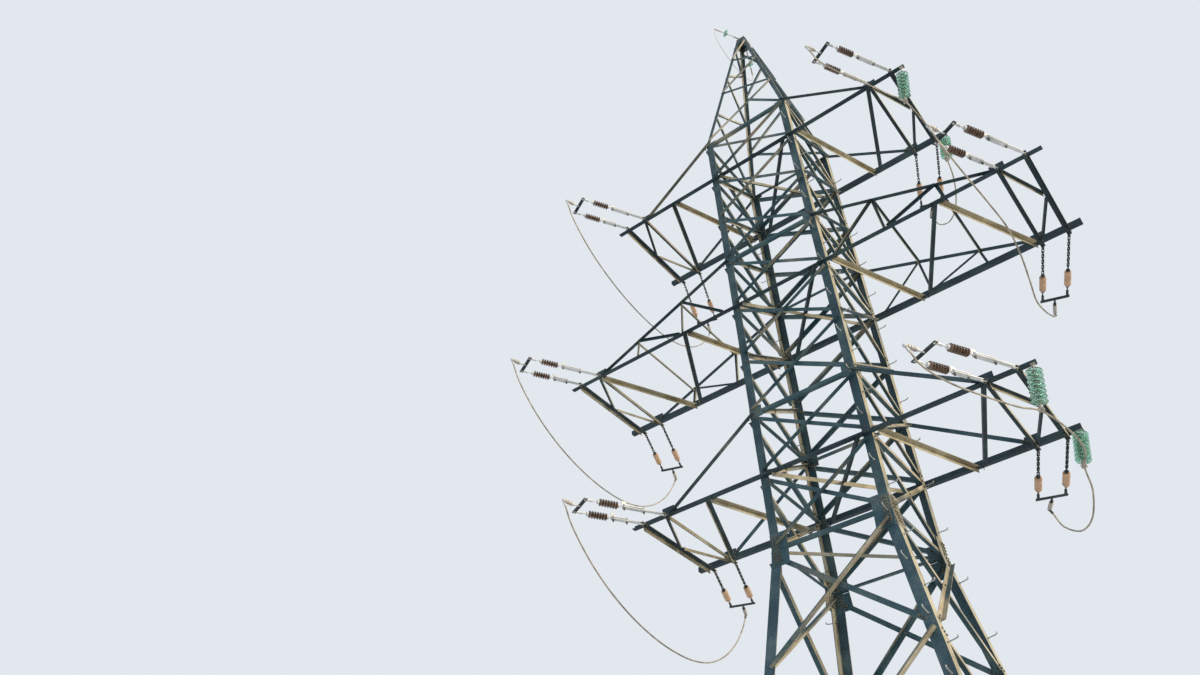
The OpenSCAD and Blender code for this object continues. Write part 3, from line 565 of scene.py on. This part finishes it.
def turnedShape(foot, d, outline, sides):  # outline: radius and height along d from the foot
    across = d.orthogonal().normalized()
    above = d.cross(across)
    ring = circle(1.0, sides)
    points = [foot + h * d + r * (x * across + y * above) for r, h in outline for x, y in ring]
    return points, tubeFaces(len(outline), sides)


def roundedBar(p, q, width, thick):  # a bar from p to q with chamfered edges, its flat side level
    ahead = (q - p).normalized()
    across = up.cross(ahead).normalized()
    above = ahead.cross(across)
    w, t, c = width / 2, thick / 2, min(width, thick) * strings["barEdge"]
    ring = [(w, -t + c), (w, t - c), (w - c, t), (-w + c, t)]
    ring += [(-x, -y) for x, y in ring]
    return [end + x * across + y * above for end in (p, q) for x, y in ring], tubeFaces(2, len(ring))


def joinShapes(name, shapes, slot, material, smoothAngle=40):
    points, faces = [], []
    for some, sides in shapes:
        faces += [tuple(len(points) + i for i in face) for face in sides]
        points += some
    return newPiece(name, newMesh(name, points, faces, smoothAngle), slot, material)


def barrelOutline():
    (radius, length), depth, ends = strings["barrel"], strings["ribDepth"], strings["ribEnds"]
    rib = length / (strings["ribs"] + 2 * ends)
    outline = [(share * radius, h) for share, h in strings["barrelFoot"]]
    for i in range(strings["ribs"]):
        for step in strings["ribSteps"]:
            bulge = math.sin(math.pi * step) ** strings["ribEdge"]
            outline.append((radius * (1 - depth + depth * bulge), (i + ends + step) * rib))
    return outline + [(share * radius, length + h) for share, h in strings["barrelTop"]]


def clampOutline(run):
    parts = [(strings["nose"], 0.0), *((strings["keeper"], share * run) for share in strings["keepers"]),
             (strings["mouth"], run)]
    return [(strings["clampTube"] + over, at + h) for part, at in parts for over, h in part]


def makeStrings():
    gap, count = strings["shedGap"], strings["sheds"]
    sheds = [(r, (i + h) * gap) for i in range(count) for r, h in strings["shed"]]
    sheds.append((strings["neck"], count * gap))
    brown, tan, yokes, clamps = [], [], [], []
    kinds = {-1: (brown, sheds, strings["shedEnd"] + count * gap),
             1: (tan, barrelOutline(), strings["barrelEnd"] + strings["barrel"][1])}
    for arm, side, s in eachString():
        lines, centre, d = stringLines(arm, side, s)
        made, outline, back = kinds[s]
        for lug, end in lines:
            along = (end - lug).normalized()
            made.append(turnedShape(end - back * along, along, outline, strings["sides"]))
        away = (lines[0][1] - lines[1][1]).normalized() * strings["yokeOver"]
        yokes.append(roundedBar(lines[1][1] - away, lines[0][1] + away, *strings["yoke"]))
        route = routeOf(arm, side)
        a, b = (route[0], route[1]) if s < 0 else (route[-1], route[-2])
        start = centre + strings["clampFrom"] * d
        reach = a + strings["clampOver"] * (a - b).normalized() - start
        clamps.append(turnedShape(start, reach.normalized(), clampOutline(reach.length), strings["clampSides"]))
    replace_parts(joinShapes("front_porcelain", brown, "brown_porcelain", brownPorcelain), "front_insulators")
    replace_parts(joinShapes("back_porcelain", tan, "tan_porcelain", tanPorcelain), "back_insulators")
    joinShapes("yoke_plates", yokes, "fitting_steel", darkForging)
    joinShapes("strain_clamps", clamps, "fitting_steel", castAluminium)


def discShapes(start, d, scale=1.0):  # the glass, cap and pin of one disc
    return [turnedShape(start, d, [(r * scale, h * scale) for r, h in supports[part]], sides)
            for part, sides in zip(("bell", "cap", "pin"), supports["sides"])]


def makeSupports():
    bells, caps = [], []
    out, aside, below = supports["hook"]
    for arm in (0, 2):
        for s in (-1, 1):
            top = Vector((armReach[arm] + out, s * aside, armZ[arm] - below))
            foot = routeOf(arm, 1)[supports["points"][s]] + Vector((0, 0, supports["clamp"]))
            d = (foot - top).normalized()
            for i in range(supports["discs"]):
                start = foot - (supports["end"] + (supports["discs"] - i) * supports["gap"]) * d
                bell, *metal = discShapes(start, d)
                bells.append(bell)
                caps += metal
    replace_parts(joinShapes("glass_bells", bells, "green_glass", greenGlass), "support_discs")
    joinShapes("disc_caps", caps, "fitting_steel", castAluminium)


# The earth wire's two short dead ends at the peak, with a glass disc each, and the thin loop between them
earthWire = {
    "start": {-1: (0, -0.150, 24.615), 1: (0, 0.165, 24.480)},  # on the tip plates, front and back
    "tang": (0.045, 0.035),  # into the plate and out of it
    "tangSize": (0.050, 0.016),
    "link": 0.200,
    "linkSize": (0.034, 0.012),
    "rod": (0.010, 0.170),  # radius, and where it starts
    "disc": 0.400,  # from the start to the disc
    "scale": 0.85,  # size of the disc against those of the supports
    "gripFrom": 0.070,  # behind the disc
    "grip": ((0.009, 0.00), (0.009, 0.10), (0.020, 0.12), (0.022, 0.20), (0.017, 0.22), (0.022, 0.24),
             (0.020, 0.33)),
    "diameter": 0.011,
    "ringGap": 0.02,
    "sides": (12, 16, 10),  # of the rod, the grip and the loop
    "route": (  # in mm
        (-351, -868, 24558), (-368, -872, 24450), (-390, -815, 24330), (-405, -685, 24220),
        (-412, -500, 24125), (-415, -280, 24065), (-415, -50, 24032), (-410, 180, 24020),
        (-400, 400, 24028), (-382, 600, 24060), (-360, 780, 24115), (-330, 905, 24200),
        (-298, 935, 24310), (-274, 917, 24424)),
}


def makeEarthWire():
    metal, glass = [], []
    (inside, outside), (rod, rodFrom) = earthWire["tang"], earthWire["rod"]
    rodSides, gripSides, loopSides = earthWire["sides"]
    for s in (-1, 1):
        d, start, face = stringWay(s), Vector(earthWire["start"][s]), Vector((0, s, 0))
        disc = start + earthWire["disc"] * d
        bell, *caps = discShapes(disc, d, earthWire["scale"])
        glass.append(bell)
        metal += [
            roundedBar(start - inside * face, start + outside * face, *earthWire["tangSize"]),
            roundedBar(start, start + earthWire["link"] * d, *earthWire["linkSize"]),
            turnedShape(start + rodFrom * d, d, [(rod, 0), (rod, earthWire["disc"] - rodFrom)], rodSides),
            *caps,
            turnedShape(disc + earthWire["gripFrom"] * d, d, earthWire["grip"], gripSides)]
    joinShapes("earth_wire_fittings", metal, "fitting_steel", castAluminium)
    joinShapes("earth_wire_discs", glass, "green_glass", greenGlass)
    path = smoothPath(inMetres(earthWire["route"]), earthWire["ringGap"])
    ring = circle(earthWire["diameter"] / 2, loopSides)
    loop = joinShapes("earth_wire_loop", [sweep(path, lambda run: ring)], "stranded_conductor", conductor, 60)


makeStrings()
makeSupports()
makeEarthWire()
print("strings and supports made")

# Each bolt has a head on one side of what it clamps, and a nut with a thread end on the other
bolt = {
    "flats": 0.030,  # M20 hexagon across its flats
    "head": 0.013,
    "nut": 0.017,
    "washer": 0.037,
    "washerT": 0.003,
    "thread": 0.020,
    "threadOut": 0.014,
    "washerSides": 12,
    "threadSides": 8,
    "inset": 0.034,  # from a bar's end to its first bolt
    "pitch": 0.056,
    "light": 0.8,  # M16 on the light members
}
spots = {"heads": [], "nuts": [], "steps": []}


def addBolt(place, facing, near, far, size=1.0):  # near and far: from place to the clamped faces
    spots["heads"].append((place + near * facing, facing, up, size))
    spots["nuts"].append((place - far * facing, -facing, up, size))


def endBolts(p, q, facing, near, far, counts, size=1.0):  # along a bar, from both of its ends
    for a, b, count in ((p, q, counts[0]), (q, p, counts[1])):
        along = (b - a).normalized()
        for i in range(count):
            addBolt(a + (bolt["inset"] + i * bolt["pitch"]) * size * along, facing, near, far, size)


def faceBar(turn, x0, z0, x1, z1, legT, outer, counts, size=1.0):
    out = tower["clear"] + tower["barT"]
    near, far = (out, legT) if outer else (0.0, legT + out)
    facing = turn @ faceNormal((z0 + z1) / 2)
    endBolts(turn @ onFace(x0, z0), turn @ onFace(x1, z1), facing, near, far, counts, size)


def crossPanel(turn, z0, z1, gap0, gap1, legT, end, counts):
    za, zb = z0 + gap0, z1 - gap1
    xa, xb = halfAt(za) - end, halfAt(zb) - end
    faceBar(turn, -xa, za, xb, zb, legT, True, counts)
    faceBar(turn, xa, za, -xb, zb, legT, False, counts)
    z = za + (zb - za) * xa / (xa + xb)
    out = tower["clear"] + tower["barT"]
    addBolt(turn @ onFace(0, z), turn @ faceNormal(z), out, legT + out)


panels = {
    "gap": 0.100,  # from a level to the ends of the diagonals
    "baseGap": 0.060,
    "waistGap": 0.130,
    "end": 0.062,  # from the leg's edge to the ends of the diagonals
    "waistEnd": 0.102,
    "rings": ((1, 4, 7), (0, 1, 3, 4, 6, 7)),  # levels with struts: front and back, then right and left
    "strutEnd": 0.090,
    "topDrop": 0.0415,  # from the top level to its struts
    # bolts of the plates on the legs: from the leg's edge, and from the level or the waist
    "gusset": ((0.045, 0.105), (-0.085, 0.085)),
    "cover": ((0.055, 0.115), (0.045, 0.103, 0.161, 0.219)),
}


def boltBody():
    baseT, bodyT, half, waist = tower["baseLegT"], tower["bodyLegT"], tower["bodyHalf"], tower["waist"]
    gap, baseGap, waistGap = panels["gap"], panels["baseGap"], panels["waistGap"]
    end, waistEnd = panels["end"], panels["waistEnd"]
    low, lower, upper, joint = tower["baseLevels"]
    plate = tower["clear"] + tower["gussetT"]
    cover = plate + tower["clear"] + tower["coverT"]
    for k in range(4):
        turn = turned(k)
        crossPanel(turn, low, lower, 0, baseGap, baseT, end, (3, 3))
        crossPanel(turn, lower, upper, baseGap, baseGap, baseT, end, (3, 3))
        crossPanel(turn, upper, joint, baseGap, waistGap, baseT, waistEnd, (3, 3))
        crossPanel(turn, joint, levels[0], waistGap, gap, bodyT, waistEnd, (3, 2))
        for z in levels[:-1]:
            crossPanel(turn, z, z + panel, gap, gap, bodyT, end, (2, 2))
        for i in panels["rings"][k % 2]:  # horizontal struts behind the legs' flanges
            z = levels[i] - (panels["topDrop"] if i == 7 else 0)
            x = half - panels["strutEnd"]
            faceBar(turn, -x, z, x, z, bodyT, False, (2, 2) if i in panels["rings"][0] else (1, 1))
        for side in (-1, 1):
            columns, rows = panels["gusset"]  # at the ties
            places = [(x, levels[i] + dz, plate) for i in (1, 4) for x in columns for dz in rows]
            columns, rows = panels["cover"]  # over the splice at the waist
            places += [(x, waist + way * dz, cover) for dz in rows for x in columns for way in (1, -1)]
            for x, z, thick in places:
                legT = baseT if z < waist else bodyT
                addBolt(turn @ onFace(side * (half - x), z), turn @ faceNormal(z), thick, legT)


peak = {
    "rises": (1.35, 3.10),  # first and third turn of the zigzag over the body's top
    "foot": 0.10,
    "top": 0.28,  # from the last turn to the tip
    "turnGap": 0.045,
    "turnEnd": 0.040,
    "tipX": 0.075,
    "tipRows": (0.05, 0.13, 0.21),
}


def boltPeak():
    low, high = (tower["bodyTop"] + rise for rise in peak["rises"])
    top = tower["peakTop"] - peak["top"]
    turns = (tower["bodyTop"] + peak["foot"], low, (low + high) / 2, high, (high + top) / 2, top)
    gap, inset, legT, size = peak["turnGap"], peak["turnEnd"], tower["peakLegT"], bolt["light"]
    plate = tower["clear"] + tower["gussetT"]
    for k in range(4):
        turn = turned(k)
        for i in range(5):
            side, z0, z1 = (1 if i % 2 else -1), turns[i] + gap, turns[i + 1] - gap
            x0, x1 = side * (halfAt(z0) - inset), side * (inset - halfAt(z1))
            faceBar(turn, x0, z0, x1, z1, legT, True, (1, 1), size)
        for x in (-peak["tipX"], peak["tipX"]):  # plate between the legs under the tip
            for z in (tower["peakTop"] - dz for dz in peak["tipRows"]):
                addBolt(turn @ onFace(x, z), turn @ faceNormal(z), plate, legT, size)


armFrame = {
    "turns": ((2.06,), (2.15, 3.30), (2.06,)),  # where the lacing of each arm turns
    "first": 0.15,  # from the body to the lacing
    "apart": 0.0465,  # from a turn to the ends of its bars
    "knee": ((0.03, 0.02), (0.04, 0.06)),  # how far inside the frame a knee starts and ends
    "legX": (0.05, 0.11),
    "legZ": 0.024,
}


def boltArm(arm):
    z, reach, size = armZ[arm], armReach[arm], bolt["light"]
    hang, half = reach - tower["hangGap"], tower["bodyHalf"]
    seat = z - tower["chordW"] / 2  # underside of the chords' level flanges
    chordT, lightT, apart = tower["chordT"], tower["lightT"], armFrame["apart"]
    stops = [half + armFrame["first"], *armFrame["turns"][arm], hang]
    (x0, y0), (x1, y1) = armFrame["knee"]
    for k in (0, 2):
        turn = turned(k)
        for x, thick in ((reach, chordT), (hang, tower["barT"])):
            p, q = (turn @ Vector((x, side * railY, seat)) for side in (-1, 1))
            endBolts(p, q, -up, thick, chordT, (2, 2))
        for side in (-1, 1):
            p, q = Vector((hang + x0, side * (railY - y0), seat)), Vector((reach - x1, side * y1, seat))
            endBolts(turn @ p, turn @ q, -up, lightT, chordT, (1, 1), size)
        for i in range(len(stops) - 1):
            y = railY if i % 2 else -railY
            p = Vector((stops[i] + (apart if i else 0), y, seat))
            q = Vector((stops[i + 1] - apart, -y, seat))
            endBolts(turn @ p, turn @ q, -up, lightT, chordT, (1, 1), size)
        for x in armFrame["legX"]:  # chords to legs, through their standing flanges
            for side in (-1, 1):
                for dz in (-armFrame["legZ"], armFrame["legZ"]):
                    place = turn @ Vector((side * (half - x), -half, z + dz))
                    addBolt(place, turn @ Vector((0, -1, 0)), tower["clear"] + chordT, tower["bodyLegT"])


ties = {
    "foot": (-0.03, 0.01),  # out from the inner strut, and up from the arm's level
    "head": 0.06,  # in from the leg's edge
    "posts": (0.30, 0.64),  # where the posts of a middle arm's tie meet it, as shares of its length
    "postLean": 0.06,
    "braceLean": 0.12,
    "lastFoot": 0.22,  # from the body
    "rise": 0.02,
}


def boltTies(arm):
    z, hang, half = armZ[arm], armReach[arm] - tower["hangGap"], tower["bodyHalf"]
    barT, light, size, (dx, dz) = tower["barT"], tower["lightT"], bolt["light"], ties["foot"]
    for k in (0, 2):
        turn = turned(k)
        for side in (-1, 1):
            facing = turn @ Vector((0, side, 0))
            p = Vector((hang + dx, side * tieSeat, z + dz))
            q = Vector((half - ties["head"], side * tieSeat, z + panel))
            endBolts(turn @ p, turn @ q, facing, barT, tower["gussetT"] + tower["bodyLegT"], (3, 3))
            if arm != 1:
                continue
            tops = [p.lerp(q, share) for share in ties["posts"]]
            feet = [top.x + ties["postLean"] for top in tops]
            feet += [tops[1].x + ties["braceLean"], half + ties["lastFoot"]]
            for top, x in zip(tops * 2, feet):
                foot = Vector((x, side * tieSeat, z + ties["rise"]))
                endBolts(turn @ top, turn @ foot, facing, barT + light, 0.0, (1, 0), size)
                endBolts(turn @ foot, turn @ top, facing, light, tower["chordT"], (1, 0), size)


pins = {
    "lug": 0.025,  # from a string's line to a shackle's cheek
    # on the link bars: share of their run, m from there, and from the line to the bars' faces
    "links": ((0.45, 0.0, 0.031), (1.0, -0.133, 0.028)),
    "size": 1.2,
}


def boltStrings():  # heads and nuts on the pins of the shackles and link bars
    porcelain = strings["shedEnd"] + strings["sheds"] * strings["shedGap"]
    for arm, side, s in eachString():
        for lug, end in stringLines(arm, side, s)[0]:
            along = (end - lug).normalized()
            pin = (up - up.dot(along) * along).normalized()
            addBolt(lug, pin, pins["lug"], pins["lug"])
            run = (end - lug).length - porcelain
            for share, past, half in pins["links"] if s < 0 else ():
                addBolt(lug + (share * run + past) * along, pin, half, half, pins["size"])


boltBody()
boltPeak()
boltStrings()
for arm in range(3):
    boltArm(arm)
    boltTies(arm)
print("bolts placed,", len(spots["heads"]))

# Step bolts: hooked rods through the flanges of three legs, turn and turn about
steps = {
    "legs": ((1, -1), (-1, 1), (1, 1)),  # which legs, by their sides in x and y
    "first": 2.6,
    "last": 19.6,
    "gap": 0.46,
    "heel": 0.075,  # from the leg's heel to the rod
    "length": 0.170,
    "hook": 0.038,
    "rod": 0.019,
    "rodSides": 8,
    "bendSteps": 12,
    "nut": 0.9,  # size against the bolts' nuts
    "collar": 1.8,  # width of the rod's own nut, in rods
}


def placeSteps():
    for sx, sy in steps["legs"]:
        for i in range(int((steps["last"] - steps["first"]) / steps["gap"]) + 1):
            z = steps["first"] + i * steps["gap"]
            half = halfAt(z)
            legT = tower["baseLegT"] if z < tower["waist"] else tower["bodyLegT"]
            heel = half - steps["heel"]
            if i % 2:
                place, out = Vector((sx * half, sy * heel, z)), Vector((sx, 0, slopeAt(z)))
            else:
                place, out = Vector((sx * heel, sy * half, z)), Vector((0, sy, slopeAt(z)))
            out.normalize()
            spots["steps"].append((place, out, up, 1.0))
            spots["nuts"].append((place - legT * out, -out, up, steps["nut"]))


placeSteps()


# Geometry Nodes: each tree draws one small thing from named sizes and repeats it on the spots
spotFields = {"facing": ("FLOAT_VECTOR", "vector"), "above": ("FLOAT_VECTOR", "vector"),
              "size": ("FLOAT", "value")}


def repeatTree(name, sizes, draw, material):
    tree = bpy.data.node_groups.new(name, "GeometryNodeTree")
    tree.interface.new_socket("Points", in_out="INPUT", socket_type="NodeSocketGeometry")
    for label in sizes:
        tree.interface.new_socket(label, in_out="INPUT", socket_type="NodeSocketFloat")
    tree.interface.new_socket("Geometry", in_out="OUTPUT", socket_type="NodeSocketGeometry")
    given = addNode(tree, "NodeGroupInput", {}).outputs
    read, align = "GeometryNodeInputNamedAttribute", "FunctionNodeAlignRotationToVector"
    facing, above, size = (addNode(tree, read, {"data_type": kind, "Name": label})
                           for label, (kind, _) in spotFields.items())
    aim = addNode(tree, align, {"axis": "Z", "Vector": facing})
    roll = addNode(tree, align, {"axis": "Y", "pivot_axis": "Z", "Vector": above, "Rotation": aim})
    placed = addNode(tree, "GeometryNodeInstanceOnPoints",
                     {"Points": given["Points"], "Instance": draw(tree, given), "Rotation": roll,
                      "Scale": size})
    real = addNode(tree, "GeometryNodeRealizeInstances", {0: placed})
    addNode(tree, "NodeGroupOutput",
            {0: addNode(tree, "GeometryNodeSetMaterial", {"Geometry": real, "Material": material})})
    return tree


def drum(tree, sides, width, depth, foot):  # a round or hexagonal drum of a given width, standing on foot
    body = addNode(tree, "GeometryNodeMeshCylinder",
                   {"Vertices": sides, "Radius": reckon(tree, "MULTIPLY", width, 0.5), "Depth": depth})
    lift = addNode(tree, "ShaderNodeCombineXYZ", {"Z": reckon(tree, "MULTIPLY_ADD", depth, 0.5, foot)})
    return addNode(tree, "GeometryNodeTransform", {"Geometry": body, "Translation": lift})


def drawHead(tree, given):
    corners = reckon(tree, "MULTIPLY", given["Across flats"], 2 / math.sqrt(3))
    washer = drum(tree, bolt["washerSides"], given["Washer"], given["Washer thickness"], 0.0)
    hexagon = drum(tree, 6, corners, given["Height"], given["Washer thickness"])
    return addNode(tree, "GeometryNodeJoinGeometry", {0: [washer, hexagon]})


def drawNut(tree, given):
    tall = reckon(tree, "ADD", given["Height"], given["Thread out"])
    end = drum(tree, bolt["threadSides"], given["Thread"], tall, given["Washer thickness"])
    return addNode(tree, "GeometryNodeJoinGeometry", {0: [drawHead(tree, given), end]})


def drawStep(tree, given):
    corner = addNode(tree, "ShaderNodeCombineXYZ", {"Z": given["Length"]})
    tip = addNode(tree, "ShaderNodeCombineXYZ", {"Y": given["Hook"], "Z": given["Length"]})
    line = addNode(tree, "GeometryNodeCurvePrimitiveBezierSegment",
                   {"Resolution": steps["bendSteps"], "Start": (0, 0, 0), "Start Handle": corner,
                    "End Handle": corner, "End": tip})
    ring = addNode(tree, "GeometryNodeCurvePrimitiveCircle",
                   {"Resolution": steps["rodSides"], "Radius": reckon(tree, "MULTIPLY", given["Rod"], 0.5)})
    rod = addNode(tree, "GeometryNodeCurveToMesh", {"Curve": line, "Profile Curve": ring, "Fill Caps": True})
    nut = drum(tree, 6, reckon(tree, "MULTIPLY", given["Rod"], steps["collar"]), given["Rod"], 0.0)
    return addNode(tree, "GeometryNodeJoinGeometry", {0: [rod, nut]})


def grow(name, spotList, sizes, draw, material, slot):
    mesh = newMesh(name, [s[0] for s in spotList], [])
    for i, (label, (kind, field)) in enumerate(spotFields.items(), 1):
        values = [c for s in spotList for c in (s[i] if field == "vector" else [s[i]])]
        mesh.attributes.new(label, kind, "POINT").data.foreach_set(field, values)
    seed = newPiece(name + "_spots", mesh, None, None)
    modifier = seed.modifiers.new("grow", "NODES")
    modifier.node_group = repeatTree(name, sizes, draw, material)
    for item in modifier.node_group.interface.items_tree:
        if item.in_out == "INPUT" and item.name in sizes:
            modifier[item.identifier] = sizes[item.name]
    grown = bpy.data.meshes.new_from_object(seed.evaluated_get(bpy.context.evaluated_depsgraph_get()))
    seed.modifiers.remove(modifier)
    bpy.data.objects.remove(seed)
    for label in spotFields:
        if label in grown.attributes:
            grown.attributes.remove(grown.attributes[label])
    print(name, "has", len(grown.polygons), "faces")
    return newPiece(name, grown, slot, None)


hexSizes = {"Across flats": bolt["flats"], "Washer": bolt["washer"], "Washer thickness": bolt["washerT"]}
grow("bolt_heads", spots["heads"], {**hexSizes, "Height": bolt["head"]}, drawHead, boltSteel, "plate_steel")
grow("bolt_nuts", spots["nuts"],
     {**hexSizes, "Height": bolt["nut"], "Thread": bolt["thread"], "Thread out": bolt["threadOut"]},
     drawNut, boltSteel, "plate_steel")
grow("step_bolts", spots["steps"], {"Length": steps["length"], "Hook": steps["hook"], "Rod": steps["rod"]},
     drawStep, stepSteel, "fitting_steel")

# A wide pale floor and backdrop, and one low, soft and slightly warm light from the right
studio = {
    "floorSize": 400.0,
    "floor": "#e6e7e8",
    "floorRoughness": 0.9,
    "sky": "#e2e8ee",
    "skyLight": 0.62,
    "sunLight": 2.4,
    "sunSoftness": 12,  # degrees
    "sunFrom": (1.0, 0.10, 0.45),
    "sunColour": "#fff0d8",
}


def makeStage():
    size = studio["floorSize"] / 2
    corners = [(-size, -size, 0), (size, -size, 0), (size, size, 0), (-size, size, 0)]
    material, tree, shader, _ = newMaterial("paleFloor", 0.0, studio["floorRoughness"])
    setNode(tree, shader, {"Base Color": studio["floor"]})
    newPiece("floor", newMesh("floor", corners, [(0, 1, 2, 3)]), None, material)
    world = bpy.data.worlds.new("paleSky")
    bpy.context.scene.world = world
    world.use_nodes = True
    tree = world.node_tree
    rays = addNode(tree, "ShaderNodeLightPath", {}).outputs
    direct = reckon(tree, "MAXIMUM", rays["Is Camera Ray"], rays["Is Transmission Ray"])
    shown = reckon(tree, "MAXIMUM", direct, rays["Is Glossy Ray"])
    strength = remap(tree, shown, 0.0, 1.0, studio["skyLight"], 1.0)
    setNode(tree, tree.nodes["Background"], {"Color": studio["sky"], "Strength": strength})
    sun = bpy.data.lights.new("key", "SUN")
    sun.energy = studio["sunLight"]
    sun.angle = math.radians(studio["sunSoftness"])
    sun.color = linear(studio["sunColour"])[:3]
    lamp = bpy.data.objects.new("key", sun)
    lamp.rotation_euler = Vector(studio["sunFrom"]).to_track_quat("Z", "Y").to_euler()
    bpy.context.scene.collection.objects.link(lamp)


makeStage()
bpy.context.scene.view_settings.view_transform = "Standard"
print("stage lit")
